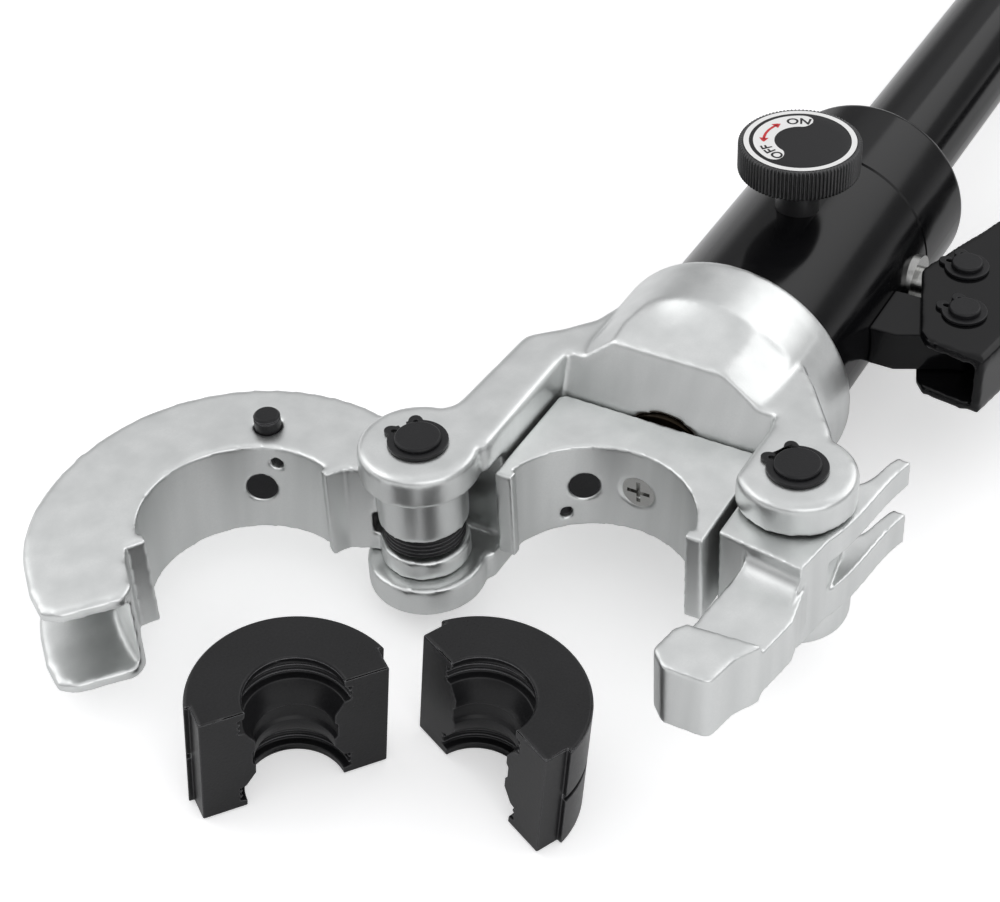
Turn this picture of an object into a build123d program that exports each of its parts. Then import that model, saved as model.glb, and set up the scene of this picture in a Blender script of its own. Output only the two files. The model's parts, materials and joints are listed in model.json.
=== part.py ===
"""Hand-operated hydraulic crimping tool with a swing-open C jaw and a pair of loose crimping dies.

Everything is drawn in the tool's own frame: +X runs forward along the cylinder to the head, +Y points to
the latch and the moving lever, +Z is up along the hinge pin, and the origin is on the cylinder axis in the
middle of the head. At the end the tool is laid on the bench, rolled a few degrees onto its jaw side as it
lies in use, with the two dies standing beside it. Sizes are millimetres and degrees.
"""
from build123d import *
import math
import os

# Die seat shared by the jaw, the block and the dies
SEAT_R = 32.6
SEAT_GAP = 0.3
LIP_SHORT = 4.0
LIP_DEPTH = 3.6
LIP_IN = 2.7
DETENT_ANGLE = 31.0
DETENT_R = 5.2
DETENT_DEPTH = 5.0
DETENT_SHY = 0.4
SEAT_BREACH = 2.0
SET_SCREW_ANGLE = 41.6
SET_SCREW_R = 2.2
SET_SCREW_DEPTH = 8.0
SET_SCREW_SHY = 2.0
SET_SCREW_UP = 10.4

# Jaw, hinged on the left arm of the yoke
JAW_T = 34.0
JAW_R = 63.0
HINGE_X = 58.3
HINGE_Y = -57.0
CLOSED_ANGLE = 123.0
STROKE = 15.0
KNUCKLE_R = 14.6
SPRING_SLOT_LOW = -9.6
SPRING_SLOT_HIGH = -1.2
SPRING_CORE_R = 9.8
TIP_END = 17.0
TIP_OUT = 69.0
FORK_LAYER = 4.4
KEEPER_TOP = 11.6
KEEPER_FLOOR = 36.2
KEEPER_END = 36.0

# Yoke
COLLAR_R = 43.4
COLLAR_REAR = -52.5
COLLAR_FRONT = -33.0
NECK_R = 41.5
NECK_FLAT = 36.0
THROAT_X = 2.0
THROAT_GAP = 1.0
THROAT_SLOPE = 8.0
EAR_OUT = 28.6
EAR_GAP = 0.25
LEFT_BOSS_R = 19.4
RIGHT_BOSS_R = 18.9
EAR_ROUND = 2.2
KNUCKLE_GAP = 0.8
CLEVIS_X = 40.3

# Latch, on the right arm
LATCH_X = 18.0
LATCH_Y = 53.1
LATCH_T = 33.0
HOOK_UP = 11.8
FOREARM_UP = 8.5
HORN_LOW = 7.0
HORN_HIGH = -5.0
LATCH_FRONT = 42.3
HOOK_ROUND = 3.0
HOOK_TIP = 97.0

# Pins and their clips
PIN_R = 7.4
PIN_FIT = 0.05
PIN_PROUD = 2.6
CLIP_T = 1.2
CLIP_PLAY = 0.05
CLIP_SINK = 1.1
CLIP_WALL = 2.4
CLIP_LUG_R = 2.2
CLIP_TURN = -118.0
COIL_WIRE = 0.95
COIL_TURNS = 2.5
COIL_GAP = 0.2

# Die button on the jaw
BUTTON_R = 4.4
BUTTON_TOP = 22.0
BUTTON_REACH = 43.5
BUTTON_ANGLE = 34.0
BUTTON_LENGTH = 10.0
BUTTON_SPRING = 6.0
BUTTON_FIT = 0.06

# Die block and ram
BLOCK_T = 33.0
BLOCK_WALL = 3.4
BLOCK_SEAT_X = 52.6
BLOCK_BACK = 3.5
ROD_R = 14.0
SPIGOT_R = 8.0
SPIGOT = 5.0
ROD_FIT = 0.05
BUSH_WALL = 3.5
PISTON_REAR = -88.0
PISTON_T = 16.0
BORE_R = 27.0
PISTON_FIT = 0.08
BORE_FRONT = -26.0
SEAL_WIDTH = 4.0
SEAL_DEPTH = 2.5
SPRING_R = 20.5
SPRING_WIRE = 1.8
SPRING_TURNS = 6
SCREW_HEAD_R = 6.0
SCREW_R = 3.0
SCREW_LENGTH = 22.0
CROSS_WIDTH = 1.4
CROSS_DEPTH = 2.0

# Cylinder, cap and fixed handle
CYL_R = 36.5
CYL_FRONT = -14.0
CYL_STEP = -36.0
NECK_SPIGOT_R = 32.0
BORE_END = -92.0
SEAM_X = -138.7
SEAM_GROOVE = 0.7
CAP_END = -177.3
CAP_ROUND = 4.0
CAP_SPIGOT_R = 26.0
CAP_SPIGOT = 4.5
RING_WIDTH = 2.0
RING_DEPTH = 1.6
TUBE_R = 20.0
TUBE_WALL = 2.5
TUBE_END = -432.0
TUBE_SINK = 12.0
OIL_BORE_R = 12.0
BLADDER_R = 13.5
BLADDER_WALL = 1.5
BLADDER_LENGTH = 96.0
BLADDER_SINK = 14.0
GRIP_WALL = 2.6
GRIP_LENGTH = 96.0
GRIP_CAP = 6.0
GRIP_RIB_GAP = 9.0
GRIP_RIB_DEPTH = 0.8
PLUG_T = 5.0

# Release valve and knob
KNOB_X = -103.0
KNOB_R = 21.0
KNOB_TOP = 62.5
KNOB_T = 11.3
KNOB_FLUTES = 54
FLUTE_R = 0.75
KNOB_RIM = 1.4
FACE_T = 0.6
FACE_GAP = 0.1
STEM_R = 7.6
STEM_FIT = 0.05
STEM_SINK = 6.0
VALVE_FLOOR = 8.0
OIL_WAY_R = 1.6
VALVE_BALL_R = 3.0
RETURN_Y = 4.0
RETURN_UP = 11.5
STEM_RING_AT = 26.0

# Pump and moving lever
PUMP_X = -127.0
PUMP_PIN_Y = 55.0
PLUNGER_R = 6.2
PLUNGER_END = 8.0
PUMP_FLOOR = 2.5
PLUNGER_FIT = 0.05
GLAND_R = 10.0
GLAND_T = 10.0
GLAND_PROUD = 1.5
BALL_R = 2.5
BALL_FIT = 0.15
BALL_POCKET = 6.0
EYE_T = 11.0
EYE_SWAY = 3.2
EYE_RISE = 0.7
EYE_WALL = 2.8
PIVOT_X = -101.5
PIVOT_Y = 63.5
LUG_REAR = -109.4
LUG_FRONT = -85.0
LUG_T = 15.0
LUG_FOOT = 30.0
LEVER_PIN_R = 5.5
LEVER_PIN_PROUD = 3.0
LEVER_TURN = 12.0
CHANNEL_GAP = 0.5
CHANNEL_WALL = 3.6
CHANNEL_LENGTH = 92.0
CHANNEL_HALF = 16.0
SOCKET_R = 17.0
SOCKET_LENGTH = 28.0
SOCKET_FLOOR = 6.0
LEVER_TUBE_R = 14.0
LEVER_TUBE_WALL = 2.0
LEVER_LENGTH = 351.0
LEVER_GRIP_LENGTH = 125.0

# Loose dies
DIE_H = 43.0
DIE_BORE_R = 15.5
DIE_RIM = 3.0
DIE_RECESS = 2.3
DIE_RECESS_H = 6.2
DIE_BULGE = 3.0
DIE_BULGE_H = 14.0
DIE_DIMPLE_H = 7.0
DIE_DIMPLE = 1.0
DIE_EDGE = 0.8
DIE_GROOVE_H = 2.2
DIE_GROOVE = 1.4
DIE_NOTCH_R = 2.4

# How the tool lies, and where the dies stand on the bench
ROLL = 6.31
DIE_A_AT = (149.2, -46.0)
DIE_A_TURN = -35.4
DIE_B_AT = (120.2, 0.0)
DIE_B_TURN = -113.3

# Sizes and places that follow from the values above
DIE_R = SEAT_R - SEAT_GAP
BLOCK_HALF = SEAT_R + BLOCK_WALL
THROAT_HALF = BLOCK_HALF + THROAT_GAP
LIP_HALF = SEAT_R - LIP_IN
EAR_IN = JAW_T / 2 + EAR_GAP
CLOSED_X = BLOCK_SEAT_X + STROKE
HINGE_REACH = math.hypot(CLOSED_X - HINGE_X, HINGE_Y)
OPEN_BEARING = math.atan2(-HINGE_Y, CLOSED_X - HINGE_X) - math.radians(CLOSED_ANGLE)
JAW_X = HINGE_X + HINGE_REACH * math.cos(OPEN_BEARING)
JAW_Y = HINGE_Y + HINGE_REACH * math.sin(OPEN_BEARING)
JAW_TURN = math.radians(90 - CLOSED_ANGLE)
JAW = Plane(origin=(JAW_X, JAW_Y, 0), x_dir=(math.cos(JAW_TURN), math.sin(JAW_TURN), 0), z_dir=(0, 0, 1))
BLOCK = Plane(origin=(BLOCK_SEAT_X, 0, 0), x_dir=(0, -1, 0), z_dir=(0, 0, 1))
HINGE_U = HINGE_Y
HINGE_V = CLOSED_X - HINGE_X
PISTON_FRONT = PISTON_REAR + PISTON_T
TUBE_FRONT = CAP_END + TUBE_SINK
CHANNEL_IN = LUG_T / 2 + CHANNEL_GAP
CHANNEL_OUT = CHANNEL_IN + CHANNEL_WALL
LEVER_COS = math.cos(math.radians(LEVER_TURN))
LEVER_SIN = math.sin(math.radians(LEVER_TURN))
HOOK_BACK = (81.0, 42.0)
SWING_R = math.hypot(HOOK_BACK[0] - HINGE_X, HOOK_BACK[1] - HINGE_Y) - 1.0


def seat_plane(base, angle, side, up=0.0):
    """Plane on a seat's wall, an angle from its middle towards one side, facing the centre line."""
    turn = math.radians(-90 - side * angle)
    spot = base.from_local_coords(Vector(SEAT_R * math.cos(turn), SEAT_R * math.sin(turn), up))
    centre = base.from_local_coords(Vector(0, 0, up))
    return Plane(origin=spot, x_dir=(0, 0, 1), z_dir=centre - spot)


def across_x(x):
    """Plane across the cylinder axis at x, facing forward."""
    return Plane(origin=(x, 0, 0), x_dir=(0, 1, 0), z_dir=(1, 0, 0))


def across_y(x, y):
    """Plane across the pump axis at x and height y, facing out along +Y."""
    return Plane(origin=(x, y, 0), x_dir=(1, 0, 0), z_dir=(0, 1, 0))


def across_lever(distance):
    """Plane across the lever at a distance from its pivot, facing away from the pivot."""
    spot = (PIVOT_X - distance * LEVER_COS, PIVOT_Y + distance * LEVER_SIN, 0)
    return Plane(origin=spot, x_dir=(0, 0, 1), z_dir=(-LEVER_COS, LEVER_SIN, 0))


def ring(plane, outer, inner, length):
    """Straight ring, or a disc where the inner radius is nothing."""
    with BuildPart() as piece:
        with BuildSketch(plane):
            Circle(outer)
            if inner:
                Circle(inner, mode=Mode.SUBTRACT)
        extrude(amount=length)
    return piece.part


def clip_pin(x, y, radius, face, proud):
    """Round pin across two faces at plus and minus face, with a clip groove outside each face."""
    groove = CLIP_T + 2 * CLIP_PLAY
    with BuildPart() as pin:
        with BuildSketch(Plane.XY.offset(-face - proud)):
            with Locations((x, y)):
                Circle(radius)
        extrude(amount=2 * (face + proud))
        chamfer(pin.edges().filter_by(GeomType.CIRCLE), 0.5)
        for low in (face, -face - groove):
            with BuildSketch(Plane.XY.offset(low)):
                with Locations((x, y)):
                    Circle(radius + 1)
                    Circle(radius - CLIP_SINK, mode=Mode.SUBTRACT)
            extrude(amount=groove, mode=Mode.SUBTRACT)
    return pin.part


def circlip(x, y, radius, low):
    """External circlip: an open ring with a lug and a plier hole at each side of its gap."""
    inner = radius - CLIP_SINK
    lug_at = inner + CLIP_WALL / 2 + 0.4
    heading = Vector(1, 0, 0).rotate(Axis.Z, CLIP_TURN)
    with BuildPart() as clip:
        with BuildSketch(Plane(origin=(x, y, low), x_dir=heading, z_dir=(0, 0, 1))):
            Circle(inner + CLIP_WALL)
            with PolarLocations(lug_at, 2, start_angle=-27, angular_range=54, endpoint=True):
                Circle(CLIP_LUG_R)
            Circle(inner, mode=Mode.SUBTRACT)
            with Locations((inner + CLIP_WALL, 0)):
                Rectangle(2 * CLIP_WALL + 2, CLIP_WALL, mode=Mode.SUBTRACT)
            with PolarLocations(lug_at, 2, start_angle=-27, angular_range=54, endpoint=True):
                Circle(0.8, mode=Mode.SUBTRACT)
        extrude(amount=CLIP_T)
    return clip.part


def coil(plane, radius, wire, turns, height):
    """Coil spring that stands on a plane; its height is over the wire."""
    rise = height - 2 * wire
    with BuildPart() as spring:
        with BuildLine(Plane.XY.offset(wire)):
            path = Helix(pitch=rise / turns, height=rise, radius=radius)
        with BuildSketch(Plane(origin=path @ 0, z_dir=path % 0)):
            Circle(wire)
        sweep(path=path)
    return spring.part.moved(plane.location)


def ball(spot, radius):
    """Steel ball."""
    with BuildPart() as piece:
        with Locations(spot):
            Sphere(radius)
    return piece.part


def grip(plane, radius, length):
    """Rubber grip that slips over a tube, ribbed along its length and closed at its far end."""
    with BuildPart() as sleeve:
        with BuildSketch(plane):
            Circle(radius + GRIP_WALL)
        extrude(amount=-length - GRIP_CAP)
        ends = sleeve.edges().filter_by(GeomType.CIRCLE).sort_by(Axis(plane.origin, plane.z_dir))
        fillet(ends[0], GRIP_CAP / 2)
        for rib in range(1, int(length / GRIP_RIB_GAP) - 1):
            with BuildSketch(plane.offset(-rib * GRIP_RIB_GAP)):
                Circle(radius + 2 * GRIP_WALL)
                Circle(radius + GRIP_WALL - GRIP_RIB_DEPTH, mode=Mode.SUBTRACT)
            extrude(amount=GRIP_RIB_GAP / 5, mode=Mode.SUBTRACT)
        with BuildSketch(plane):
            Circle(radius)
        extrude(amount=-length, mode=Mode.SUBTRACT)
    return sleeve.part


def die(plane):
    """Half die: a half round with lip shoulders, a mid groove, and a stepped crimp bore in its flat face."""
    bulge_r = DIE_BORE_R - DIE_BULGE
    recess_r = DIE_BORE_R + DIE_RECESS
    recess_top = DIE_RIM + DIE_RECESS_H
    bulge_low = (DIE_H - DIE_BULGE_H) / 2
    dimple_low = (DIE_H - DIE_DIMPLE_H) / 2
    half_profile = [
        (DIE_BORE_R + 0.6, 0), (DIE_BORE_R, 0.6), (DIE_BORE_R, DIE_RIM), (recess_r, DIE_RIM + 0.5),
        (recess_r, recess_top), (DIE_BORE_R, recess_top + 0.5), (bulge_r, bulge_low), (bulge_r, dimple_low),
        (bulge_r + DIE_DIMPLE, dimple_low + 1),
    ]
    upper_profile = [(r, DIE_H - up) for r, up in reversed(half_profile)]
    shoulder = LIP_SHORT + LIP_DEPTH + SEAT_GAP
    notch_turn = math.radians(SET_SCREW_ANGLE)
    with BuildPart() as half:
        with BuildSketch(plane):
            Circle(DIE_R)
            with Locations((0, DIE_R)):
                Rectangle(3 * DIE_R, 2 * DIE_R, mode=Mode.SUBTRACT)
            for side in (1, -1):
                with Locations((side * (LIP_HALF - SEAT_GAP + DIE_R), -shoulder / 2)):
                    Rectangle(2 * DIE_R, shoulder, mode=Mode.SUBTRACT)
        extrude(amount=DIE_H)
        rims = half.faces().filter_by(Axis.Z).edges().filter_by(lambda edge: edge.length > 2)
        chamfer(rims, DIE_EDGE)
        with BuildSketch(plane.offset((DIE_H - DIE_GROOVE_H) / 2)):
            Circle(DIE_R + 2)
            Circle(DIE_R - DIE_GROOVE, mode=Mode.SUBTRACT)
        extrude(amount=DIE_GROOVE_H, mode=Mode.SUBTRACT)
        with BuildSketch(plane):
            with Locations((DIE_R * math.sin(notch_turn), -DIE_R * math.cos(notch_turn))):
                Circle(DIE_NOTCH_R)
        extrude(amount=DIE_H, mode=Mode.SUBTRACT)
        with BuildSketch(Plane(origin=plane.origin, x_dir=plane.x_dir, z_dir=-plane.y_dir)):
            with BuildLine():
                Polyline((0, 0), *half_profile, *upper_profile, (0, DIE_H), close=True)
            make_face()
        revolve(axis=Axis(plane.origin, plane.z_dir), mode=Mode.SUBTRACT)
    return half.part


# Neck: turned collar and neck with a flat on top and below
with BuildPart() as neck:
    with BuildSketch(Plane.XZ):
        with BuildLine():
            Polyline(
                (COLLAR_REAR, 0), (COLLAR_REAR, COLLAR_R - 1), (COLLAR_REAR + 1, COLLAR_R),
                (COLLAR_FRONT, COLLAR_R), (THROAT_X, NECK_R), (THROAT_X, 0), close=True,
            )
        make_face()
    revolve(axis=Axis.X)
    with BuildSketch(Plane.XZ.offset(-COLLAR_R)):
        for side in (1, -1):
            with BuildLine():
                Polyline(
                    (COLLAR_FRONT + 1, side * NECK_FLAT), (COLLAR_FRONT, side * (COLLAR_R + 1)),
                    (THROAT_X + 1, side * (COLLAR_R + 1)), (THROAT_X + 1, side * NECK_FLAT), close=True,
                )
            make_face()
    extrude(amount=2 * COLLAR_R, mode=Mode.SUBTRACT)

# Yoke: two arms from one plate outline, joined by the neck
with BuildPart() as head_yoke:
    with BuildSketch(Plane.XY.offset(-EAR_OUT)):
        with BuildLine():
            Polyline(
                (-38, 0), (-38, -33), (-24, -37.5), (-14.8, -45.1), (-6.1, -54.5), (36, -56.6),
                (HINGE_X - 11, HINGE_Y - 12), (HINGE_X, HINGE_Y), (HINGE_X - 2, HINGE_Y + 15),
                (HINGE_X - 9, -THROAT_HALF), (THROAT_X, -THROAT_HALF), (THROAT_X, THROAT_HALF),
                (LATCH_X + 6, THROAT_HALF), (LATCH_X, LATCH_Y), (LATCH_X - 10, LATCH_Y + 8), (-4.4, 54.9),
                (-22.9, 41.4),
                (-38, 28), close=True,
            )
        make_face()
        with Locations((HINGE_X, HINGE_Y)):
            Circle(LEFT_BOSS_R)
        with Locations((LATCH_X, LATCH_Y)):
            Circle(RIGHT_BOSS_R)
        with Locations((THROAT_X + HINGE_X, 0)):
            Rectangle(2 * HINGE_X, 2 * THROAT_HALF, mode=Mode.SUBTRACT)
    extrude(amount=2 * EAR_OUT)
    fillet(head_yoke.edges().filter_by(Axis.Z).filter_by_position(Axis.Y, -58, -54), 7)
    fillet(head_yoke.faces().filter_by(Axis.Z).edges(), EAR_ROUND)
    add(neck.part)
    with BuildSketch(Plane.XZ.offset(-THROAT_HALF)):
        for side in (1, -1):
            with BuildLine():
                Polyline(
                    (THROAT_X + 1, side * EAR_OUT / 2), (THROAT_X, side * EAR_OUT / 2),
                    (THROAT_X - THROAT_SLOPE, side * NECK_FLAT), (THROAT_X - THROAT_SLOPE, side * 2 * EAR_OUT),
                    (THROAT_X + 1, side * 2 * EAR_OUT), close=True,
                )
            make_face()
    extrude(amount=2 * THROAT_HALF, mode=Mode.SUBTRACT)
    with BuildSketch(across_x(COLLAR_REAR)):
        Circle(CYL_R)
    extrude(amount=CYL_STEP - COLLAR_REAR, mode=Mode.SUBTRACT)
    with BuildSketch(across_x(CYL_STEP)):
        Circle(NECK_SPIGOT_R)
    extrude(amount=CYL_FRONT - CYL_STEP, mode=Mode.SUBTRACT)
    with BuildSketch(across_x(CYL_FRONT)):
        Circle(ROD_R + BUSH_WALL)
    extrude(amount=THROAT_X - CYL_FRONT, mode=Mode.SUBTRACT)
    with BuildSketch(Plane.XY.offset(-EAR_IN)):
        with Locations((HINGE_X, HINGE_Y)):
            Circle(KNUCKLE_R + KNUCKLE_GAP)
        with Locations((CLEVIS_X + LEFT_BOSS_R, HINGE_Y)):
            Rectangle(2 * LEFT_BOSS_R, 2 * LEFT_BOSS_R + 4)
        with Locations((LATCH_X, LATCH_Y)):
            Circle(KNUCKLE_R + KNUCKLE_GAP)
            Polygon((0, -1), (-32, 5), (-32, 34), (34, 34), (34, -24), (-6, -24), align=None)
    extrude(amount=2 * EAR_IN, mode=Mode.SUBTRACT)
    with BuildSketch(Plane.XY.offset(-EAR_OUT)):
        with Locations((HINGE_X, HINGE_Y), (LATCH_X, LATCH_Y)):
            Circle(PIN_R)
    extrude(amount=2 * EAR_OUT, mode=Mode.SUBTRACT)

# Jaw: a C ring with a forked end for the latch, drawn about its seat's centre where it hangs open
with BuildPart() as upper_jaw:
    with BuildSketch(JAW.offset(-JAW_T / 2)):
        Circle(JAW_R)
        with Locations((0, JAW_R - LIP_SHORT)):
            Rectangle(3 * JAW_R, 2 * JAW_R, mode=Mode.SUBTRACT)
        with BuildLine():
            Polyline(
                (36.6, -LIP_SHORT), (38.8, 2), (41, TIP_END - 4), (45, TIP_END), (TIP_OUT - 5, TIP_END - 2.5),
                (TIP_OUT, TIP_END - 6.5), (TIP_OUT, 0), (66.7, -11.7), (59, -24), (44, -22), (36.6, -14), close=True,
            )
        make_face()
        with Locations((HINGE_U, HINGE_V)):
            Circle(KNUCKLE_R)
        with BuildLine():
            Polyline(
                (HINGE_U - 13.2, HINGE_V - 6.2), (-JAW_R + 0.6, -LIP_SHORT - 4), (-50, -20),
                (-36.6, -LIP_SHORT - 4), (-36.6, -LIP_SHORT), (HINGE_U + 12.5, HINGE_V - 7.5), close=True,
            )
        make_face()
        Circle(SEAT_R, mode=Mode.SUBTRACT)
        for side in (1, -1):
            with Locations((side * (LIP_HALF + LIP_IN), -LIP_SHORT - LIP_DEPTH / 2)):
                Rectangle(2 * LIP_IN, LIP_DEPTH)
    extrude(amount=JAW_T)
    with BuildSketch(JAW.offset(-JAW_T / 2 + FORK_LAYER)):
        with Locations((HINGE_U, HINGE_V)):
            Circle(3 * JAW_R)
            Circle(SWING_R, mode=Mode.SUBTRACT)
        with Locations((TIP_OUT, 0)):
            Rectangle(2 * (TIP_OUT - KEEPER_FLOOR), 2 * KEEPER_END, mode=Mode.INTERSECT)
        with BuildLine():
            Polyline(
                (KEEPER_FLOOR, -KEEPER_TOP), (KEEPER_FLOOR - 3, -KEEPER_TOP - 15), (KEEPER_FLOOR, -KEEPER_END),
                (JAW_R, -KEEPER_END), (JAW_R + 10, -KEEPER_TOP), close=True,
            )
        make_face()
    extrude(amount=JAW_T - 2 * FORK_LAYER, mode=Mode.SUBTRACT)
    with BuildSketch(JAW.offset(-JAW_T / 2)):
        with Locations((HINGE_U, HINGE_V)):
            Circle(PIN_R + PIN_FIT)
    extrude(amount=JAW_T, mode=Mode.SUBTRACT)
    with BuildSketch(JAW.offset(SPRING_SLOT_LOW)):
        with Locations((HINGE_U, HINGE_V)):
            Circle(KNUCKLE_R + 2)
            Circle(SPRING_CORE_R, mode=Mode.SUBTRACT)
    extrude(amount=SPRING_SLOT_HIGH - SPRING_SLOT_LOW, mode=Mode.SUBTRACT)
    with BuildSketch(seat_plane(JAW, DETENT_ANGLE, 1).offset(SEAT_BREACH)):
        Circle(DETENT_R)
    extrude(amount=-DETENT_DEPTH - SEAT_BREACH, mode=Mode.SUBTRACT)
    with BuildSketch(seat_plane(JAW, SET_SCREW_ANGLE, 1, SET_SCREW_UP).offset(SEAT_BREACH)):
        Circle(SET_SCREW_R)
    extrude(amount=-SET_SCREW_DEPTH - SEAT_BREACH, mode=Mode.SUBTRACT)
    button_turn = math.radians(-90 - BUTTON_ANGLE)
    button_spot = (BUTTON_REACH * math.cos(button_turn), BUTTON_REACH * math.sin(button_turn))
    button_foot = BUTTON_TOP - BUTTON_LENGTH
    with BuildSketch(JAW.offset(button_foot - BUTTON_SPRING)):
        with Locations(button_spot):
            Circle(BUTTON_R + BUTTON_FIT)
    extrude(amount=JAW_T, mode=Mode.SUBTRACT)

with BuildPart() as jaw_button:
    with BuildSketch(JAW.offset(button_foot)):
        with Locations(button_spot):
            Circle(BUTTON_R)
    extrude(amount=BUTTON_LENGTH)
    chamfer(jaw_button.edges().filter_by(GeomType.CIRCLE).sort_by(Axis.Z)[-1], 0.7)
    with BuildSketch(JAW.offset(BUTTON_TOP - 1.8)):
        with Locations(button_spot):
            Circle(BUTTON_R + 1)
            Circle(BUTTON_R - 0.5, mode=Mode.SUBTRACT)
    extrude(amount=0.7, mode=Mode.SUBTRACT)

# Die block, which rides on the ram
with BuildPart() as die_block:
    with BuildSketch(BLOCK.offset(-BLOCK_T / 2)):
        Polygon(
            (-BLOCK_HALF, BLOCK_BACK - BLOCK_SEAT_X), (BLOCK_HALF, BLOCK_BACK - BLOCK_SEAT_X),
            (BLOCK_HALF, -LIP_SHORT), (-BLOCK_HALF, -LIP_SHORT), align=None,
        )
        Circle(SEAT_R, mode=Mode.SUBTRACT)
        for side in (1, -1):
            with Locations((side * (LIP_HALF + LIP_IN / 2 + 1), -LIP_SHORT - LIP_DEPTH / 2)):
                Rectangle(LIP_IN + 2, LIP_DEPTH)
    extrude(amount=BLOCK_T)
    chamfer(die_block.edges().filter_by(Axis.Z).group_by(Axis.X)[0], 2)
    with BuildSketch(seat_plane(BLOCK, DETENT_ANGLE, -1).offset(SEAT_BREACH)):
        Circle(DETENT_R)
    extrude(amount=-DETENT_DEPTH - SEAT_BREACH, mode=Mode.SUBTRACT)
    with BuildSketch(seat_plane(BLOCK, SET_SCREW_ANGLE, -1, -SET_SCREW_UP).offset(SEAT_BREACH)):
        Circle(SET_SCREW_R)
    extrude(amount=-SET_SCREW_DEPTH - SEAT_BREACH, mode=Mode.SUBTRACT)
    with BuildSketch(across_x(BLOCK_BACK)):
        Circle(SPIGOT_R)
    extrude(amount=SPIGOT, mode=Mode.SUBTRACT)
    with BuildSketch(across_x(BLOCK_BACK)):
        Circle(SCREW_R)
    extrude(amount=BLOCK_SEAT_X - BLOCK_BACK, mode=Mode.SUBTRACT)
    with BuildSketch(across_x(BLOCK_SEAT_X - SEAT_R + 1)):
        Circle(SCREW_HEAD_R + 1)
    extrude(amount=-(SCREW_HEAD_R - SCREW_R) - 1, taper=45, mode=Mode.SUBTRACT)

screw_top = BLOCK_SEAT_X - SEAT_R - SEAT_GAP
head_r = SCREW_HEAD_R - SEAT_GAP
with BuildPart() as block_screw:
    with BuildSketch(across_x(screw_top)):
        Circle(head_r)
    extrude(amount=-(head_r - SCREW_R), taper=45)
    with BuildSketch(across_x(screw_top)):
        Circle(SCREW_R)
    extrude(amount=-SCREW_LENGTH)
    with BuildSketch(across_x(screw_top)):
        Rectangle(1.4 * head_r, CROSS_WIDTH)
        Rectangle(CROSS_WIDTH, 1.4 * head_r)
    extrude(amount=-CROSS_DEPTH, mode=Mode.SUBTRACT)

# Ram: piston and rod in one
with BuildPart() as ram_piston:
    with BuildSketch(across_x(PISTON_REAR)):
        Circle(BORE_R - PISTON_FIT)
    extrude(amount=PISTON_T)
    with BuildSketch(across_x(PISTON_FRONT)):
        Circle(ROD_R)
    extrude(amount=BLOCK_BACK - PISTON_FRONT)
    with BuildSketch(across_x(BLOCK_BACK)):
        Circle(SPIGOT_R)
    extrude(amount=SPIGOT)
    with BuildSketch(across_x(PISTON_REAR + (PISTON_T - SEAL_WIDTH) / 2)):
        Circle(BORE_R)
        Circle(BORE_R - PISTON_FIT - SEAL_DEPTH, mode=Mode.SUBTRACT)
    extrude(amount=SEAL_WIDTH, mode=Mode.SUBTRACT)
    with BuildSketch(across_x(BLOCK_BACK + SPIGOT)):
        Circle(SCREW_R)
    extrude(amount=screw_top - SCREW_LENGTH - BLOCK_BACK - SPIGOT, mode=Mode.SUBTRACT)

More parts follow.
